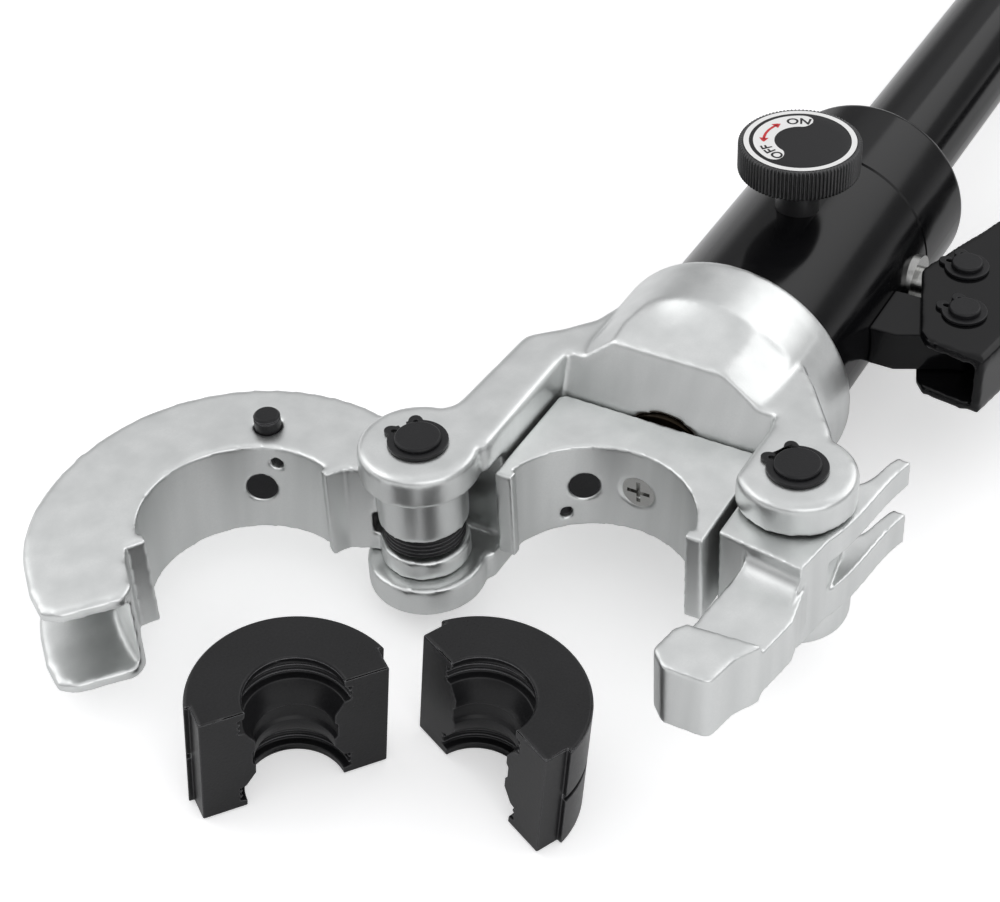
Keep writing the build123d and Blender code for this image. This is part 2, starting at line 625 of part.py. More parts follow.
# Cylinder: ram bore in front, pump block behind it with its oil ways
with BuildPart() as cylinder_body:
    with BuildSketch(across_x(SEAM_X)):
        Circle(CYL_R)
    extrude(amount=CYL_STEP - SEAM_X)
    chamfer(cylinder_body.edges().filter_by(GeomType.CIRCLE).sort_by(Axis.X)[0], SEAM_GROOVE)
    with BuildSketch(across_x(CYL_STEP)):
        Circle(NECK_SPIGOT_R)
    extrude(amount=CYL_FRONT - CYL_STEP)
    with BuildSketch(across_x(BORE_END)):
        Circle(BORE_R)
    extrude(amount=BORE_FRONT - BORE_END, mode=Mode.SUBTRACT)
    with BuildSketch(across_x(BORE_FRONT)):
        Circle(ROD_R + 2 * ROD_FIT)
    extrude(amount=CYL_FRONT - BORE_FRONT, mode=Mode.SUBTRACT)
    with BuildSketch(across_x((BORE_FRONT + CYL_FRONT - SEAL_WIDTH) / 2)):
        Circle(ROD_R + SEAL_DEPTH)
    extrude(amount=SEAL_WIDTH, mode=Mode.SUBTRACT)
    with BuildSketch(across_x(SEAM_X)):
        Circle(CAP_SPIGOT_R)
    extrude(amount=CAP_SPIGOT, mode=Mode.SUBTRACT)
    with BuildSketch(across_y(PUMP_X, PUMP_FLOOR)):
        Circle(PLUNGER_R + PLUNGER_FIT)
    extrude(amount=CYL_R, mode=Mode.SUBTRACT)
    with BuildSketch(across_y(PUMP_X, CYL_R + GLAND_PROUD - GLAND_T)):
        Circle(GLAND_R)
    extrude(amount=GLAND_T, mode=Mode.SUBTRACT)
    with BuildSketch(Plane((KNOB_X, 0, VALVE_FLOOR))):
        Circle(STEM_R + STEM_FIT)
    extrude(amount=CYL_R, mode=Mode.SUBTRACT)
    with BuildSketch(Plane((KNOB_X, 0, 0))):
        Circle(OIL_WAY_R)
    extrude(amount=VALVE_FLOOR, mode=Mode.SUBTRACT)
    with BuildSketch(across_x(SEAM_X)):
        Circle(OIL_WAY_R)
        with Locations((RETURN_Y, RETURN_UP)):
            Circle(OIL_WAY_R)
    extrude(amount=KNOB_X - SEAM_X, mode=Mode.SUBTRACT)
    with BuildSketch(across_x(KNOB_X)):
        Circle(OIL_WAY_R)
    extrude(amount=BORE_END - KNOB_X, mode=Mode.SUBTRACT)
    with BuildSketch(across_y(PUMP_X, 0)):
        Circle(OIL_WAY_R)
    extrude(amount=PUMP_FLOOR, mode=Mode.SUBTRACT)
    with BuildSketch(across_x(SEAM_X + CAP_SPIGOT)):
        Circle(BALL_R + BALL_FIT)
    extrude(amount=2 * BALL_R, mode=Mode.SUBTRACT)
    with BuildSketch(across_x(BORE_END - BALL_POCKET)):
        Circle(BALL_R + BALL_FIT)
    extrude(amount=BALL_POCKET, mode=Mode.SUBTRACT)

# End cap, which carries the fixed handle
with BuildPart() as end_cap:
    with BuildSketch(across_x(CAP_END)):
        Circle(CYL_R)
    extrude(amount=SEAM_X - CAP_END)
    fillet(end_cap.edges().filter_by(GeomType.CIRCLE).sort_by(Axis.X)[0], CAP_ROUND)
    chamfer(end_cap.edges().filter_by(GeomType.CIRCLE).sort_by(Axis.X)[-1], SEAM_GROOVE)
    with BuildSketch(across_x(SEAM_X)):
        Circle(CAP_SPIGOT_R)
    extrude(amount=CAP_SPIGOT)
    with BuildSketch(across_x(SEAM_X + (CAP_SPIGOT - RING_WIDTH) / 2)):
        Circle(CYL_R)
        Circle(CAP_SPIGOT_R - RING_DEPTH, mode=Mode.SUBTRACT)
    extrude(amount=RING_WIDTH, mode=Mode.SUBTRACT)
    with BuildSketch(across_x(TUBE_FRONT)):
        Circle(OIL_BORE_R)
    extrude(amount=SEAM_X + CAP_SPIGOT - TUBE_FRONT, mode=Mode.SUBTRACT)
    with BuildSketch(across_x(CAP_END)):
        Circle(TUBE_R)
    extrude(amount=TUBE_SINK, mode=Mode.SUBTRACT)

with BuildPart() as oil_bladder:
    bladder_rear = TUBE_FRONT - BLADDER_LENGTH
    with BuildSketch(across_x(bladder_rear)):
        Circle(BLADDER_R)
    extrude(amount=BLADDER_LENGTH)
    with BuildSketch(across_x(TUBE_FRONT)):
        Circle(OIL_BORE_R)
    extrude(amount=BLADDER_SINK)
    fillet(oil_bladder.edges().filter_by(GeomType.CIRCLE).sort_by(Axis.X)[0], 5)
    with BuildSketch(across_x(bladder_rear + BLADDER_WALL)):
        Circle(OIL_BORE_R - BLADDER_WALL)
    extrude(amount=BLADDER_LENGTH + BLADDER_SINK, mode=Mode.SUBTRACT)

# Release knob on the valve stem
with BuildPart() as release_knob:
    with BuildSketch(Plane((KNOB_X, 0, KNOB_TOP - KNOB_T))):
        Circle(KNOB_R)
    extrude(amount=KNOB_T)
    chamfer(release_knob.edges().filter_by(GeomType.CIRCLE), 0.8)
    with BuildSketch(Plane((KNOB_X, 0, KNOB_TOP - KNOB_T))):
        with PolarLocations(KNOB_R + FLUTE_R / 3, KNOB_FLUTES):
            Circle(FLUTE_R)
    extrude(amount=KNOB_T, mode=Mode.SUBTRACT)
    with BuildSketch(Plane((KNOB_X, 0, KNOB_TOP - FACE_T))):
        Circle(KNOB_R - KNOB_RIM)
    extrude(amount=FACE_T, mode=Mode.SUBTRACT)
    with BuildSketch(Plane((KNOB_X, 0, KNOB_TOP - KNOB_T))):
        Circle(STEM_R)
    extrude(amount=STEM_SINK, mode=Mode.SUBTRACT)

valve_ball_up = VALVE_FLOOR + math.sqrt(VALVE_BALL_R**2 - OIL_WAY_R**2)
stem_foot = valve_ball_up + VALVE_BALL_R
with BuildPart() as valve_stem:
    with BuildSketch(Plane((KNOB_X, 0, stem_foot))):
        Circle(STEM_R)
    extrude(amount=KNOB_TOP - KNOB_T + STEM_SINK - stem_foot)
    chamfer(valve_stem.edges().filter_by(GeomType.CIRCLE).sort_by(Axis.Z)[0], 2)
    with BuildSketch(Plane((KNOB_X, 0, STEM_RING_AT))):
        Circle(STEM_R + 1)
        Circle(STEM_R - RING_DEPTH, mode=Mode.SUBTRACT)
    extrude(amount=RING_WIDTH, mode=Mode.SUBTRACT)

# Lug on the cylinder that carries the lever's pivot
lug_end_r = PIVOT_X - LUG_REAR
with BuildPart() as handle_lug:
    with BuildSketch(Plane.XY.offset(-LUG_T / 2)):
        Polygon(
            (LUG_REAR, LUG_FOOT), (LUG_FRONT, LUG_FOOT), (LUG_FRONT, CYL_R + 9),
            (PIVOT_X + lug_end_r, PIVOT_Y), (LUG_REAR, PIVOT_Y), align=None,
        )
        with Locations((PIVOT_X, PIVOT_Y)):
            Circle(lug_end_r)
            Circle(LEVER_PIN_R, mode=Mode.SUBTRACT)
    extrude(amount=LUG_T)
    with BuildSketch(across_x(LUG_REAR - 1)):
        Circle(CYL_R)
    extrude(amount=LUG_FRONT - LUG_REAR + 2, mode=Mode.SUBTRACT)

# Lever bracket: a channel with its web outside, open in front and towards the cylinder
channel_end = across_lever(CHANNEL_LENGTH).origin
half_step = (CHANNEL_HALF * LEVER_SIN, CHANNEL_HALF * LEVER_COS)
web_front = (-78.2, 78.8)
web_rear = (channel_end.X + half_step[0], channel_end.Y + half_step[1])
edge_rear = (channel_end.X - half_step[0], channel_end.Y - half_step[1])
with BuildPart() as handle_bracket:
    with BuildSketch(Plane.XY.offset(-CHANNEL_OUT)):
        Polygon(
            web_front, (-81.4, 57.6), (-85.9, 53.7), (-119.5, 41.3), (-124.7, 42.6), edge_rear, web_rear,
            align=None,
        )
    extrude(amount=2 * CHANNEL_OUT)
    fillet(handle_bracket.edges().filter_by(Axis.Z).filter_by_position(Axis.X, -126, -80), 2)
    with BuildSketch(Plane.XY.offset(-CHANNEL_IN)):
        inner_front = (web_front[0], web_front[1] - CHANNEL_WALL)
        inner_rear = (web_rear[0], web_rear[1] - CHANNEL_WALL)
        slope = (inner_rear[0] - inner_front[0], inner_rear[1] - inner_front[1])
        Polygon(
            (inner_front[0] - slope[0] / 10, inner_front[1] - slope[1] / 10), (inner_front[0] + 10, LUG_FOOT),
            (inner_rear[0] - 20, LUG_FOOT), (inner_rear[0] + slope[0] / 10, inner_rear[1] + slope[1] / 10),
            align=None,
        )
    extrude(amount=2 * CHANNEL_IN, mode=Mode.SUBTRACT)
    with BuildSketch(Plane.XY.offset(-CHANNEL_OUT)):
        with Locations((PIVOT_X, PIVOT_Y)):
            Circle(LEVER_PIN_R + PIN_FIT)
        with Locations((PUMP_X, PUMP_PIN_Y)):
            Circle(LEVER_PIN_R)
    extrude(amount=2 * CHANNEL_OUT, mode=Mode.SUBTRACT)

with BuildPart() as lever_socket:
    with BuildSketch(across_lever(CHANNEL_LENGTH)):
        Circle(SOCKET_R)
    extrude(amount=SOCKET_LENGTH)
    fillet(lever_socket.edges().filter_by(GeomType.CIRCLE).sort_by(Axis.X)[0], 1.5)
    with BuildSketch(across_lever(CHANNEL_LENGTH + SOCKET_FLOOR)):
        Circle(LEVER_TUBE_R)
    extrude(amount=SOCKET_LENGTH, mode=Mode.SUBTRACT)

# Plunger with the slotted eye that lets the lever's pin swing
with BuildPart() as pump_plunger:
    with BuildSketch(across_y(PUMP_X, PLUNGER_END)):
        Circle(PLUNGER_R)
    extrude(amount=PUMP_PIN_Y - PLUNGER_END)
    with BuildSketch(Plane.XY.offset(-EYE_T / 2)):
        with Locations((PUMP_X, PUMP_PIN_Y)):
            SlotOverall(2 * (EYE_SWAY + LEVER_PIN_R + EYE_WALL), 2 * (LEVER_PIN_R + EYE_RISE + EYE_WALL))
    extrude(amount=EYE_T)
    with BuildSketch(Plane.XY.offset(-PLUNGER_R - 1)):
        with Locations((PUMP_X, PUMP_PIN_Y)):
            SlotOverall(2 * (EYE_SWAY + LEVER_PIN_R), 2 * (LEVER_PIN_R + EYE_RISE))
    extrude(amount=2 * PLUNGER_R + 2, mode=Mode.SUBTRACT)

# Latch: thick root in the clevis, thinner forearm, hook head, and a tail split into two horns
with BuildPart() as latch:
    with BuildSketch(Plane.XY.offset(-LATCH_T / 2)):
        with Locations((LATCH_X, LATCH_Y)):
            Circle(KNUCKLE_R)
        Polygon(
            (LATCH_X, LATCH_Y - KNUCKLE_R), (LATCH_FRONT, 38.4), (LATCH_FRONT + 4.5, 67.4), (31.1, 69.7),
            (LATCH_X, LATCH_Y + KNUCKLE_R), align=None,
        )
    extrude(amount=LATCH_T)
    for low, high in ((HORN_LOW, LATCH_T / 2), (-LATCH_T / 2, HORN_HIGH)):
        with BuildSketch(Plane.XY.offset(low)):
            with BuildLine():
                Spline((31.1, 69.7), (18.3, 73.2), (2, 75.2), (-13.6, 78.3))
                Line((-13.6, 78.3), (-14.4, 73.8))
                Spline((-14.4, 73.8), (-4, 70.6), (2.2, 68), (LATCH_X - 12, LATCH_Y + 8))
                Polyline((LATCH_X - 12, LATCH_Y + 8), (LATCH_X, LATCH_Y), (31.1, 69.7))
            make_face()
        extrude(amount=high - low)
    with BuildSketch(Plane.XY.offset(-FOREARM_UP)):
        Polygon((LATCH_FRONT, 48.2), (79, 44.9), (79, 67.4), (76, 68.7), (60, 71), (LATCH_FRONT, 68), align=None)
    extrude(amount=2 * FOREARM_UP)
    with BuildSketch(Plane.XY.offset(-HOOK_UP)):
        Polygon(
            (77.5, 44.8), HOOK_BACK, (91.5, 40.4), (HOOK_TIP, 46), (HOOK_TIP, 61.2), (84.7, 63.8), (76, 68.7), align=None,
        )
    extrude(amount=2 * HOOK_UP)
    fillet(latch.edges().filter_by(Axis.Z).filter_by_position(Axis.X, HOOK_TIP - 7, HOOK_TIP + 1), HOOK_ROUND)
    with BuildSketch(Plane.XY.offset(-LATCH_T / 2)):
        with Locations((LATCH_X, LATCH_Y)):
            Circle(PIN_R + PIN_FIT)
    extrude(amount=LATCH_T, mode=Mode.SUBTRACT)
    with BuildSketch(Plane.XY.offset(HORN_HIGH)):
        with Locations((LATCH_X, LATCH_Y)):
            Circle(KNUCKLE_R - 0.8)
            Circle(SPRING_CORE_R, mode=Mode.SUBTRACT)
    extrude(amount=HORN_LOW - HORN_HIGH, mode=Mode.SUBTRACT)

button_bottom = JAW.from_local_coords(Vector(*button_spot, button_foot - BUTTON_SPRING))
seal_at = PISTON_REAR + (PISTON_T - SEAL_WIDTH) / 2
rod_seal_at = (BORE_FRONT + CYL_FRONT - SEAL_WIDTH) / 2
ring_at = SEAM_X + (CAP_SPIGOT - RING_WIDTH) / 2
lever_grip_end = across_lever(LEVER_LENGTH - LEVER_GRIP_LENGTH)
lever_grip_plane = Plane(lever_grip_end.origin, x_dir=(0, 0, 1), z_dir=-lever_grip_end.z_dir)
spring_room = SPRING_SLOT_HIGH - SPRING_SLOT_LOW - 2 * COIL_GAP
horn_room = HORN_LOW - HORN_HIGH - 2 * COIL_GAP
pieces = {
    "head_yoke": head_yoke.part,
    "upper_jaw": upper_jaw.part,
    "hinge_pin": clip_pin(HINGE_X, HINGE_Y, PIN_R, EAR_OUT, PIN_PROUD),
    "hinge_clip_upper": circlip(HINGE_X, HINGE_Y, PIN_R, EAR_OUT + CLIP_PLAY),
    "hinge_clip_lower": circlip(HINGE_X, HINGE_Y, PIN_R, -EAR_OUT - CLIP_PLAY - CLIP_T),
    "hinge_spring": coil(
        Plane((HINGE_X, HINGE_Y, SPRING_SLOT_LOW + COIL_GAP)), (SPRING_CORE_R + KNUCKLE_R) / 2, COIL_WIRE,
        COIL_TURNS, spring_room,
    ),
    "latch": latch.part,
    "latch_pin": clip_pin(LATCH_X, LATCH_Y, PIN_R, EAR_OUT, PIN_PROUD),
    "latch_clip_upper": circlip(LATCH_X, LATCH_Y, PIN_R, EAR_OUT + CLIP_PLAY),
    "latch_clip_lower": circlip(LATCH_X, LATCH_Y, PIN_R, -EAR_OUT - CLIP_PLAY - CLIP_T),
    "latch_spring": coil(
        Plane((LATCH_X, LATCH_Y, HORN_HIGH + COIL_GAP)), (SPRING_CORE_R + KNUCKLE_R - 0.8) / 2, COIL_WIRE,
        COIL_TURNS, horn_room,
    ),
    "jaw_button": jaw_button.part,
    "button_spring": coil(Plane(button_bottom), BUTTON_R - 1.2, 0.5, 4, BUTTON_SPRING),
    "jaw_detent": ring(
        seat_plane(JAW, DETENT_ANGLE, 1).offset(-DETENT_SHY), DETENT_R, 0, DETENT_SHY - DETENT_DEPTH
    ),
    "jaw_set_screw": ring(
        seat_plane(JAW, SET_SCREW_ANGLE, 1, SET_SCREW_UP).offset(-SET_SCREW_SHY), SET_SCREW_R, 0,
        SET_SCREW_SHY - SET_SCREW_DEPTH,
    ),
    "die_block": die_block.part,
    "block_screw": block_screw.part,
    "block_detent": ring(
        seat_plane(BLOCK, DETENT_ANGLE, -1).offset(-DETENT_SHY), DETENT_R, 0, DETENT_SHY - DETENT_DEPTH
    ),
    "block_set_screw": ring(
        seat_plane(BLOCK, SET_SCREW_ANGLE, -1, -SET_SCREW_UP).offset(-SET_SCREW_SHY), SET_SCREW_R, 0,
        SET_SCREW_SHY - SET_SCREW_DEPTH,
    ),
    "ram_piston": ram_piston.part,
    "piston_seal": ring(across_x(seal_at), BORE_R - PISTON_FIT / 4, BORE_R - PISTON_FIT - SEAL_DEPTH, SEAL_WIDTH),
    "return_spring": coil(
        across_x(PISTON_FRONT + STROKE + SEAT_GAP), SPRING_R, SPRING_WIRE, SPRING_TURNS,
        BORE_FRONT - PISTON_FRONT - STROKE - SEAT_GAP,
    ),
    "rod_seal": ring(across_x(rod_seal_at), ROD_R + SEAL_DEPTH, ROD_R + ROD_FIT / 2, SEAL_WIDTH),
    "rod_bush": ring(across_x(CYL_FRONT), ROD_R + BUSH_WALL, ROD_R + ROD_FIT, THROAT_X - CYL_FRONT),
    "cylinder_body": cylinder_body.part,
    "delivery_ball": ball((BORE_END - BALL_POCKET + 0.8 * BALL_R, 0, 0), BALL_R),
    "intake_ball": ball((SEAM_X + CAP_SPIGOT + BALL_R, 0, 0), BALL_R),
    "valve_ball": ball((KNOB_X, 0, valve_ball_up), VALVE_BALL_R),
    "end_cap": end_cap.part,
    "cap_ring": ring(across_x(ring_at), CAP_SPIGOT_R, CAP_SPIGOT_R - RING_DEPTH, RING_WIDTH),
    "oil_bladder": oil_bladder.part,
    "handle_tube": ring(across_x(TUBE_END), TUBE_R, TUBE_R - TUBE_WALL, TUBE_FRONT - TUBE_END),
    "handle_plug": ring(across_x(TUBE_END), TUBE_R - TUBE_WALL, 0, PLUG_T),
    "handle_grip": grip(across_x(TUBE_END + GRIP_LENGTH), TUBE_R, GRIP_LENGTH),
    "release_knob": release_knob.part,
    "knob_face": ring(Plane((KNOB_X, 0, KNOB_TOP - FACE_T)), KNOB_R - KNOB_RIM - FACE_GAP, 0, FACE_T),
    "valve_stem": valve_stem.part,
    "stem_ring": ring(Plane((KNOB_X, 0, STEM_RING_AT)), STEM_R + STEM_FIT / 2, STEM_R - RING_DEPTH, RING_WIDTH),
    "handle_lug": handle_lug.part,
    "pivot_pin": clip_pin(PIVOT_X, PIVOT_Y, LEVER_PIN_R, CHANNEL_OUT, LEVER_PIN_PROUD),
    "pivot_clip_upper": circlip(PIVOT_X, PIVOT_Y, LEVER_PIN_R, CHANNEL_OUT + CLIP_PLAY),
    "pivot_clip_lower": circlip(PIVOT_X, PIVOT_Y, LEVER_PIN_R, -CHANNEL_OUT - CLIP_PLAY - CLIP_T),
    "handle_bracket": handle_bracket.part,
    "plunger_pin": clip_pin(PUMP_X, PUMP_PIN_Y, LEVER_PIN_R, CHANNEL_OUT, LEVER_PIN_PROUD),
    "plunger_clip_upper": circlip(PUMP_X, PUMP_PIN_Y, LEVER_PIN_R, CHANNEL_OUT + CLIP_PLAY),
    "plunger_clip_lower": circlip(PUMP_X, PUMP_PIN_Y, LEVER_PIN_R, -CHANNEL_OUT - CLIP_PLAY - CLIP_T),
    "pump_plunger": pump_plunger.part,
    "plunger_gland": ring(
        across_y(PUMP_X, CYL_R + GLAND_PROUD - GLAND_T), GLAND_R, PLUNGER_R + PLUNGER_FIT, GLAND_T
    ),
    "lever_socket": lever_socket.part,
    "moving_tube": ring(
        across_lever(CHANNEL_LENGTH + SOCKET_FLOOR), LEVER_TUBE_R, LEVER_TUBE_R - LEVER_TUBE_WALL,
        LEVER_LENGTH - CHANNEL_LENGTH - SOCKET_FLOOR,
    ),
    "lever_plug": ring(across_lever(LEVER_LENGTH - PLUG_T), LEVER_TUBE_R - LEVER_TUBE_WALL, 0, PLUG_T),
    "moving_grip": grip(lever_grip_plane, LEVER_TUBE_R, LEVER_GRIP_LENGTH),
}

# Laid on the bench: rolled about the cylinder axis and raised until the collar touches
laid = Location((0, 0, COLLAR_R), (ROLL, 0, 0))
placed = {name: piece.moved(laid) for name, piece in pieces.items()}
for name, spot, turn in (("die_a", DIE_A_AT, DIE_A_TURN), ("die_b", DIE_B_AT, DIE_B_TURN)):
    heading = Vector(1, 0, 0).rotate(Axis.Z, turn)
    placed[name] = die(Plane(origin=(spot[0], spot[1], 0), x_dir=heading, z_dir=(0, 0, 1)))

# The part's origin is under the middle of the whole group
boxes = [piece.bounding_box() for piece in placed.values()]
middle_x = (min(box.min.X for box in boxes) + max(box.max.X for box in boxes)) / 2
middle_y = (min(box.min.Y for box in boxes) + max(box.max.Y for box in boxes)) / 2
centred = Location((-middle_x, -middle_y, 0))
print(f"shift {-middle_x:.4f} {-middle_y:.4f} lift {COLLAR_R} roll {ROLL}")

os.makedirs("parts", exist_ok=True)
for name, piece in placed.items():
    node = piece.moved(centred)
    node.label = name
    export_step(node, f"parts/{name}.step")
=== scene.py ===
"""Hydraulic crimping tool on a white studio floor: rounded edges, small forms, finishes, light and camera.

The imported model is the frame, and every part keeps its place and size. Here the forged and machined edges
are rounded, the knob gets its knurl and its printed disc, and each finish is built from shader nodes.
Angles are degrees, and named lengths millimetres in the tool's own frame, unless a comment says otherwise.
"""
import json
import math

import bmesh
import bpy
import numpy as np
from mathutils import Matrix, Vector

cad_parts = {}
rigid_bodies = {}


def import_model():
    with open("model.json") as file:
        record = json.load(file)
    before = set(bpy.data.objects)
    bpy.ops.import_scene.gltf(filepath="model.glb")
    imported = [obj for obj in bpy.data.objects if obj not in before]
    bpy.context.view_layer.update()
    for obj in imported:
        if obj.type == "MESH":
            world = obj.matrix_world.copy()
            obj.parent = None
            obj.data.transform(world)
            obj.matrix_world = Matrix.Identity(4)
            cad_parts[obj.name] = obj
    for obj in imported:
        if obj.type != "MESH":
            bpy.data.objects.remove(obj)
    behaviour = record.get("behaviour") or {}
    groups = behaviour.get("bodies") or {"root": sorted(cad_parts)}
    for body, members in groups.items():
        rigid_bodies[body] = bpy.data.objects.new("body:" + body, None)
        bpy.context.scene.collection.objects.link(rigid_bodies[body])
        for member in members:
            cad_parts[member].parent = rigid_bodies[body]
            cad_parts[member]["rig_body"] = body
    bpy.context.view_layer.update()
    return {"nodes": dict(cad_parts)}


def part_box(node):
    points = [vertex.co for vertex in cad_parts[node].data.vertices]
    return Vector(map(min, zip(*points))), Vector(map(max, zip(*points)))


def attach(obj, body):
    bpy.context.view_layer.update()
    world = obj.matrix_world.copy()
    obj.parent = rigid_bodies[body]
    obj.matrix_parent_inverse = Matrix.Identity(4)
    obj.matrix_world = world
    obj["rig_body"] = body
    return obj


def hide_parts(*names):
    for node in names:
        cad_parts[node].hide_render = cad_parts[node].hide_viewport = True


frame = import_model()

# Metres to a millimetre, and the distance in metres at which corners join
MM = 0.001
WELD = 1e-6

# Edges: below the first angle, in radians, a surface is flat. Past the second an edge is sharp and is broken.
FLAT_ANGLE = math.radians(0.5)
SHARP_ANGLE = math.radians(32.0)
EDGE_BREAK = 0.3
PIN_BREAK = 0.25
PAINTED_EDGES = (("handle_lug", 0.6), ("lever_socket", 0.4))

# Finishes: the range that noise keeps to, the bump's depth in metres, the gain of the edge mark, and the
# scales of the streaks. Each finish gives its edge mark's radius in metres. The edge mark lightens edges:
# bare-metal wear on some finishes, painted highlight on others.
NOISE_LOW = 0.3
NOISE_HIGH = 0.7
BUMP_DEPTH = 0.0002
EDGE_MARK_GAIN = 14.0
STREAKS_ACROSS = 110
STREAKS_ALONG = 5

# How far the tool lies rolled about its long axis
ROLL = 6.31

# Knob and its printed disc about the knob's axis. KNOB_SWEEP is its rim's quarter turn, in radians.
KNOB_X = -103.0
KNOB_R = 21.0
KNOB_TOP = 62.5
KNOB_T = 11.3
STEM_R = 7.6
KNOB_EDGE = 1.1
KNOB_SWEEP = 1.57
FLUTES = 96
FLUTE_DEPTH = 0.8
FLUTE_POWER = 1.6
FLUTE_STEPS = 8
RIM_WIDTH = 1.6
RIM_BLEND = 1.2
RING_OUTER = 19.15
RING_INNER = 17.3
BAND_OUTER = 15.9
BAND_INNER = 8.7
BAND_START = 183.0
BAND_END = 355.0
PRINT_STEP = 0.04
LETTER_H = 3.9
LETTER_BOLD = 0.13
LETTER_SCALE = 1.32
LETTER_SPACE = 1.08
ON_AT = 206.0
OFF_AT = 332.0
ARROW_START = 236.0
ARROW_END = 300.0
ARROW_LINE = 0.95
ARROW_HEAD = 2.6
ARROW_WIDE = 0.62
ARROW_TUCK = 0.6

# Skins of the forged, milled and bent parts: voxel size, and how many rounds soften it
YOKE_VOXEL = 0.85
YOKE_ROUNDS = 6
LATCH_VOXEL = 0.55
LATCH_ROUNDS = 18
JAW_VOXEL = 0.7
JAW_ROUNDS = 18
BLOCK_VOXEL = 0.6
BLOCK_ROUNDS = 3
BRACKET_VOXEL = 0.8
BRACKET_ROUNDS = 24

# Neck of the yoke: its pad, the side facets that fall away from it, and the rise to the collar.
# A side is the pad's half width at its front and at the collar's edge, then the facet's slope at each.
COLLAR_R = 43.3
COLLAR_EDGE = -28.0
PAD_UP = 36.0
PAD_FRONT = -6.0
PAD_TILT = 0.13
RISE_START = -14.0
NEAR_SIDE = ((16.3, 19.0), (0.50, 0.70))
FAR_SIDE = ((21.8, 23.0), (0.74, 0.80))
FACET_HALF = 32.0
THROAT_X = 2.0
THROAT_UP = 14.3
THROAT_LEAN = 8.0 / 21.7
SADDLE_REAR = -46.0
SADDLE_FLOOR = 26.5
SADDLE_INSET = 0.3
ARM_TOP = 28.7

# Jaw's hinge, its seat's centre, and the swell of its outer wall towards the tip
HINGE_X = 58.3
HINGE_Y = -57.0
JAW_R = 63.0
JAW_CLOSED = 123.0
SEAT_CLOSED = 67.6
TIP_CORNER = (66.7, -11.7)
TIP_FOOT = (59.0, -24.0)
SWELL_FROM = -66.0
SWELL_TO = -2.0
SWELL = 5.0
SWELL_FOOT = 48.0
SWELL_REACH = 8.0
WALL_FROM = -164.0
SEAT_R = 32.6
SEAT_TOP = -8.6
SNAP = 0.55

# Softening of the jaw: the weight all over, more on its outside, and more again at its tip
JAW_SOFT = 0.28
OUTSIDE_SOFT = 0.45
OUTSIDE_START = 56.0
OUTSIDE_BLEND = 3.0
TIP_SOFT = 0.72
TIP_ACROSS = 38.0
TIP_ACROSS_BLEND = 6.0
TIP_AWAY = -26.0
TIP_AWAY_BLEND = 10.0

# Latch: its front wall, the hollow round where the forearm leaves it, and its softening towards the hook
ROOT_FRONT = 42.3
ROOT_SLANT = 4.5 / 29.0
ROOT_FOOT_Y = 38.4
FILLET_R = 6.5
FILLET_ROWS = (48.2, 58.0, 67.6)
FOREARM_UP = 8.5
LATCH_X = 18.0
LATCH_Y = 53.1
LATCH_SOFT = 0.2
HOOK_SOFT = 0.6
HOOK_START = 66.0
HOOK_BLEND = 12.0

# Torsion spring in the knuckle
SPRING_LOW = -9.5
SPRING_HIGH = -1.3
SPRING_R = 12.3
SPRING_WIRE = 1.0
SPRING_TURNS = 4
SPRING_START = 150.0
TURN_STEPS = 40
WIRE_SIDES = 14

# Lever bracket: its turn about the pivot, a corner of its web, half its width, and its softening
LEVER_TURN = 12.0
WEB_FRONT = (-78.2, 78.8)
BRACKET_HALF = 11.6
BRACKET_SOFT = 0.15
WEB_NEAR = 7.0
WEB_BLEND = 3.0
SIDE_NEAR = 5.0
SIDE_BLEND = 2.0

# Loose dies, and where each stands: its place from the tool's origin and its turn
DIE_R = 32.3
DIE_GROOVE = 1.4
DIE_GROOVE_H = 2.2
DIE_EDGE = 0.8
DIE_H = 43.0
SHOULDER = 7.9
SHOULDER_HALF = 29.6
BACK_STEPS = 90
BORE_STEPS = 60
DIE_PLACES = (("die_a", (149.2, -46.0), -35.4), ("die_b", (120.2, 0.0), -113.3))

# Retaining clips: each pin's place and radius, and how much wider than their solids they are past the pin
CLIPPED_PINS = (
    ("hinge", HINGE_X, HINGE_Y, 7.4),
    ("latch", LATCH_X, LATCH_Y, 7.4),
    ("pivot", -101.5, 63.5, 5.5),
    ("plunger", -127.0, 55.0, 5.5),
)
CLIP_SPREAD = 1.75

# White floor: half its width and how far it lies under the tool, in metres, and how much it is lifted for
# the eye and in reflections
FLOOR_HALF = 3.0
FLOOR_DROP = 0.0002
FLOOR_LIFT = 0.42
FLOOR_SHEEN = 0.1

# Walls: their brightness in reflections at each share of the height, and their plain colour
WALL_LEVELS = ((0.0, 0.95), (0.08, 0.80), (0.22, 0.30), (0.40, 0.40), (0.60, 1.0), (1.0, 0.90))
WALL_PLAIN = (0.70, 0.70, 0.71)

# Softboxes: place, aim, width and height in metres, and power in watts
SOFTBOXES = (
    ("far_softbox", (-0.9, 0.45, 0.95), (0.05, 0, 0.04), 1.2, 0.8, 3.2),
    ("left_softbox", (0.35, -1.1, 0.8), (0.1, 0, 0.04), 1.2, 1.1, 4),
    ("near_softbox", (0.9, 0.9, 0.9), (0.1, 0, 0.04), 1.3, 1.2, 4),
)

# Camera that took the photograph: its place in metres, its directions, and its lens and sensor
CAMERA_SPOT = Vector((0.645639, 0.195389, 0.536323))
CAMERA_RIGHT = Vector((-0.48888, 0.87072, 0.05322))
CAMERA_FORWARD = Vector((-0.65825, -0.32817, -0.67750))
CAMERA_LENS = 80.62
SENSOR = 36.0

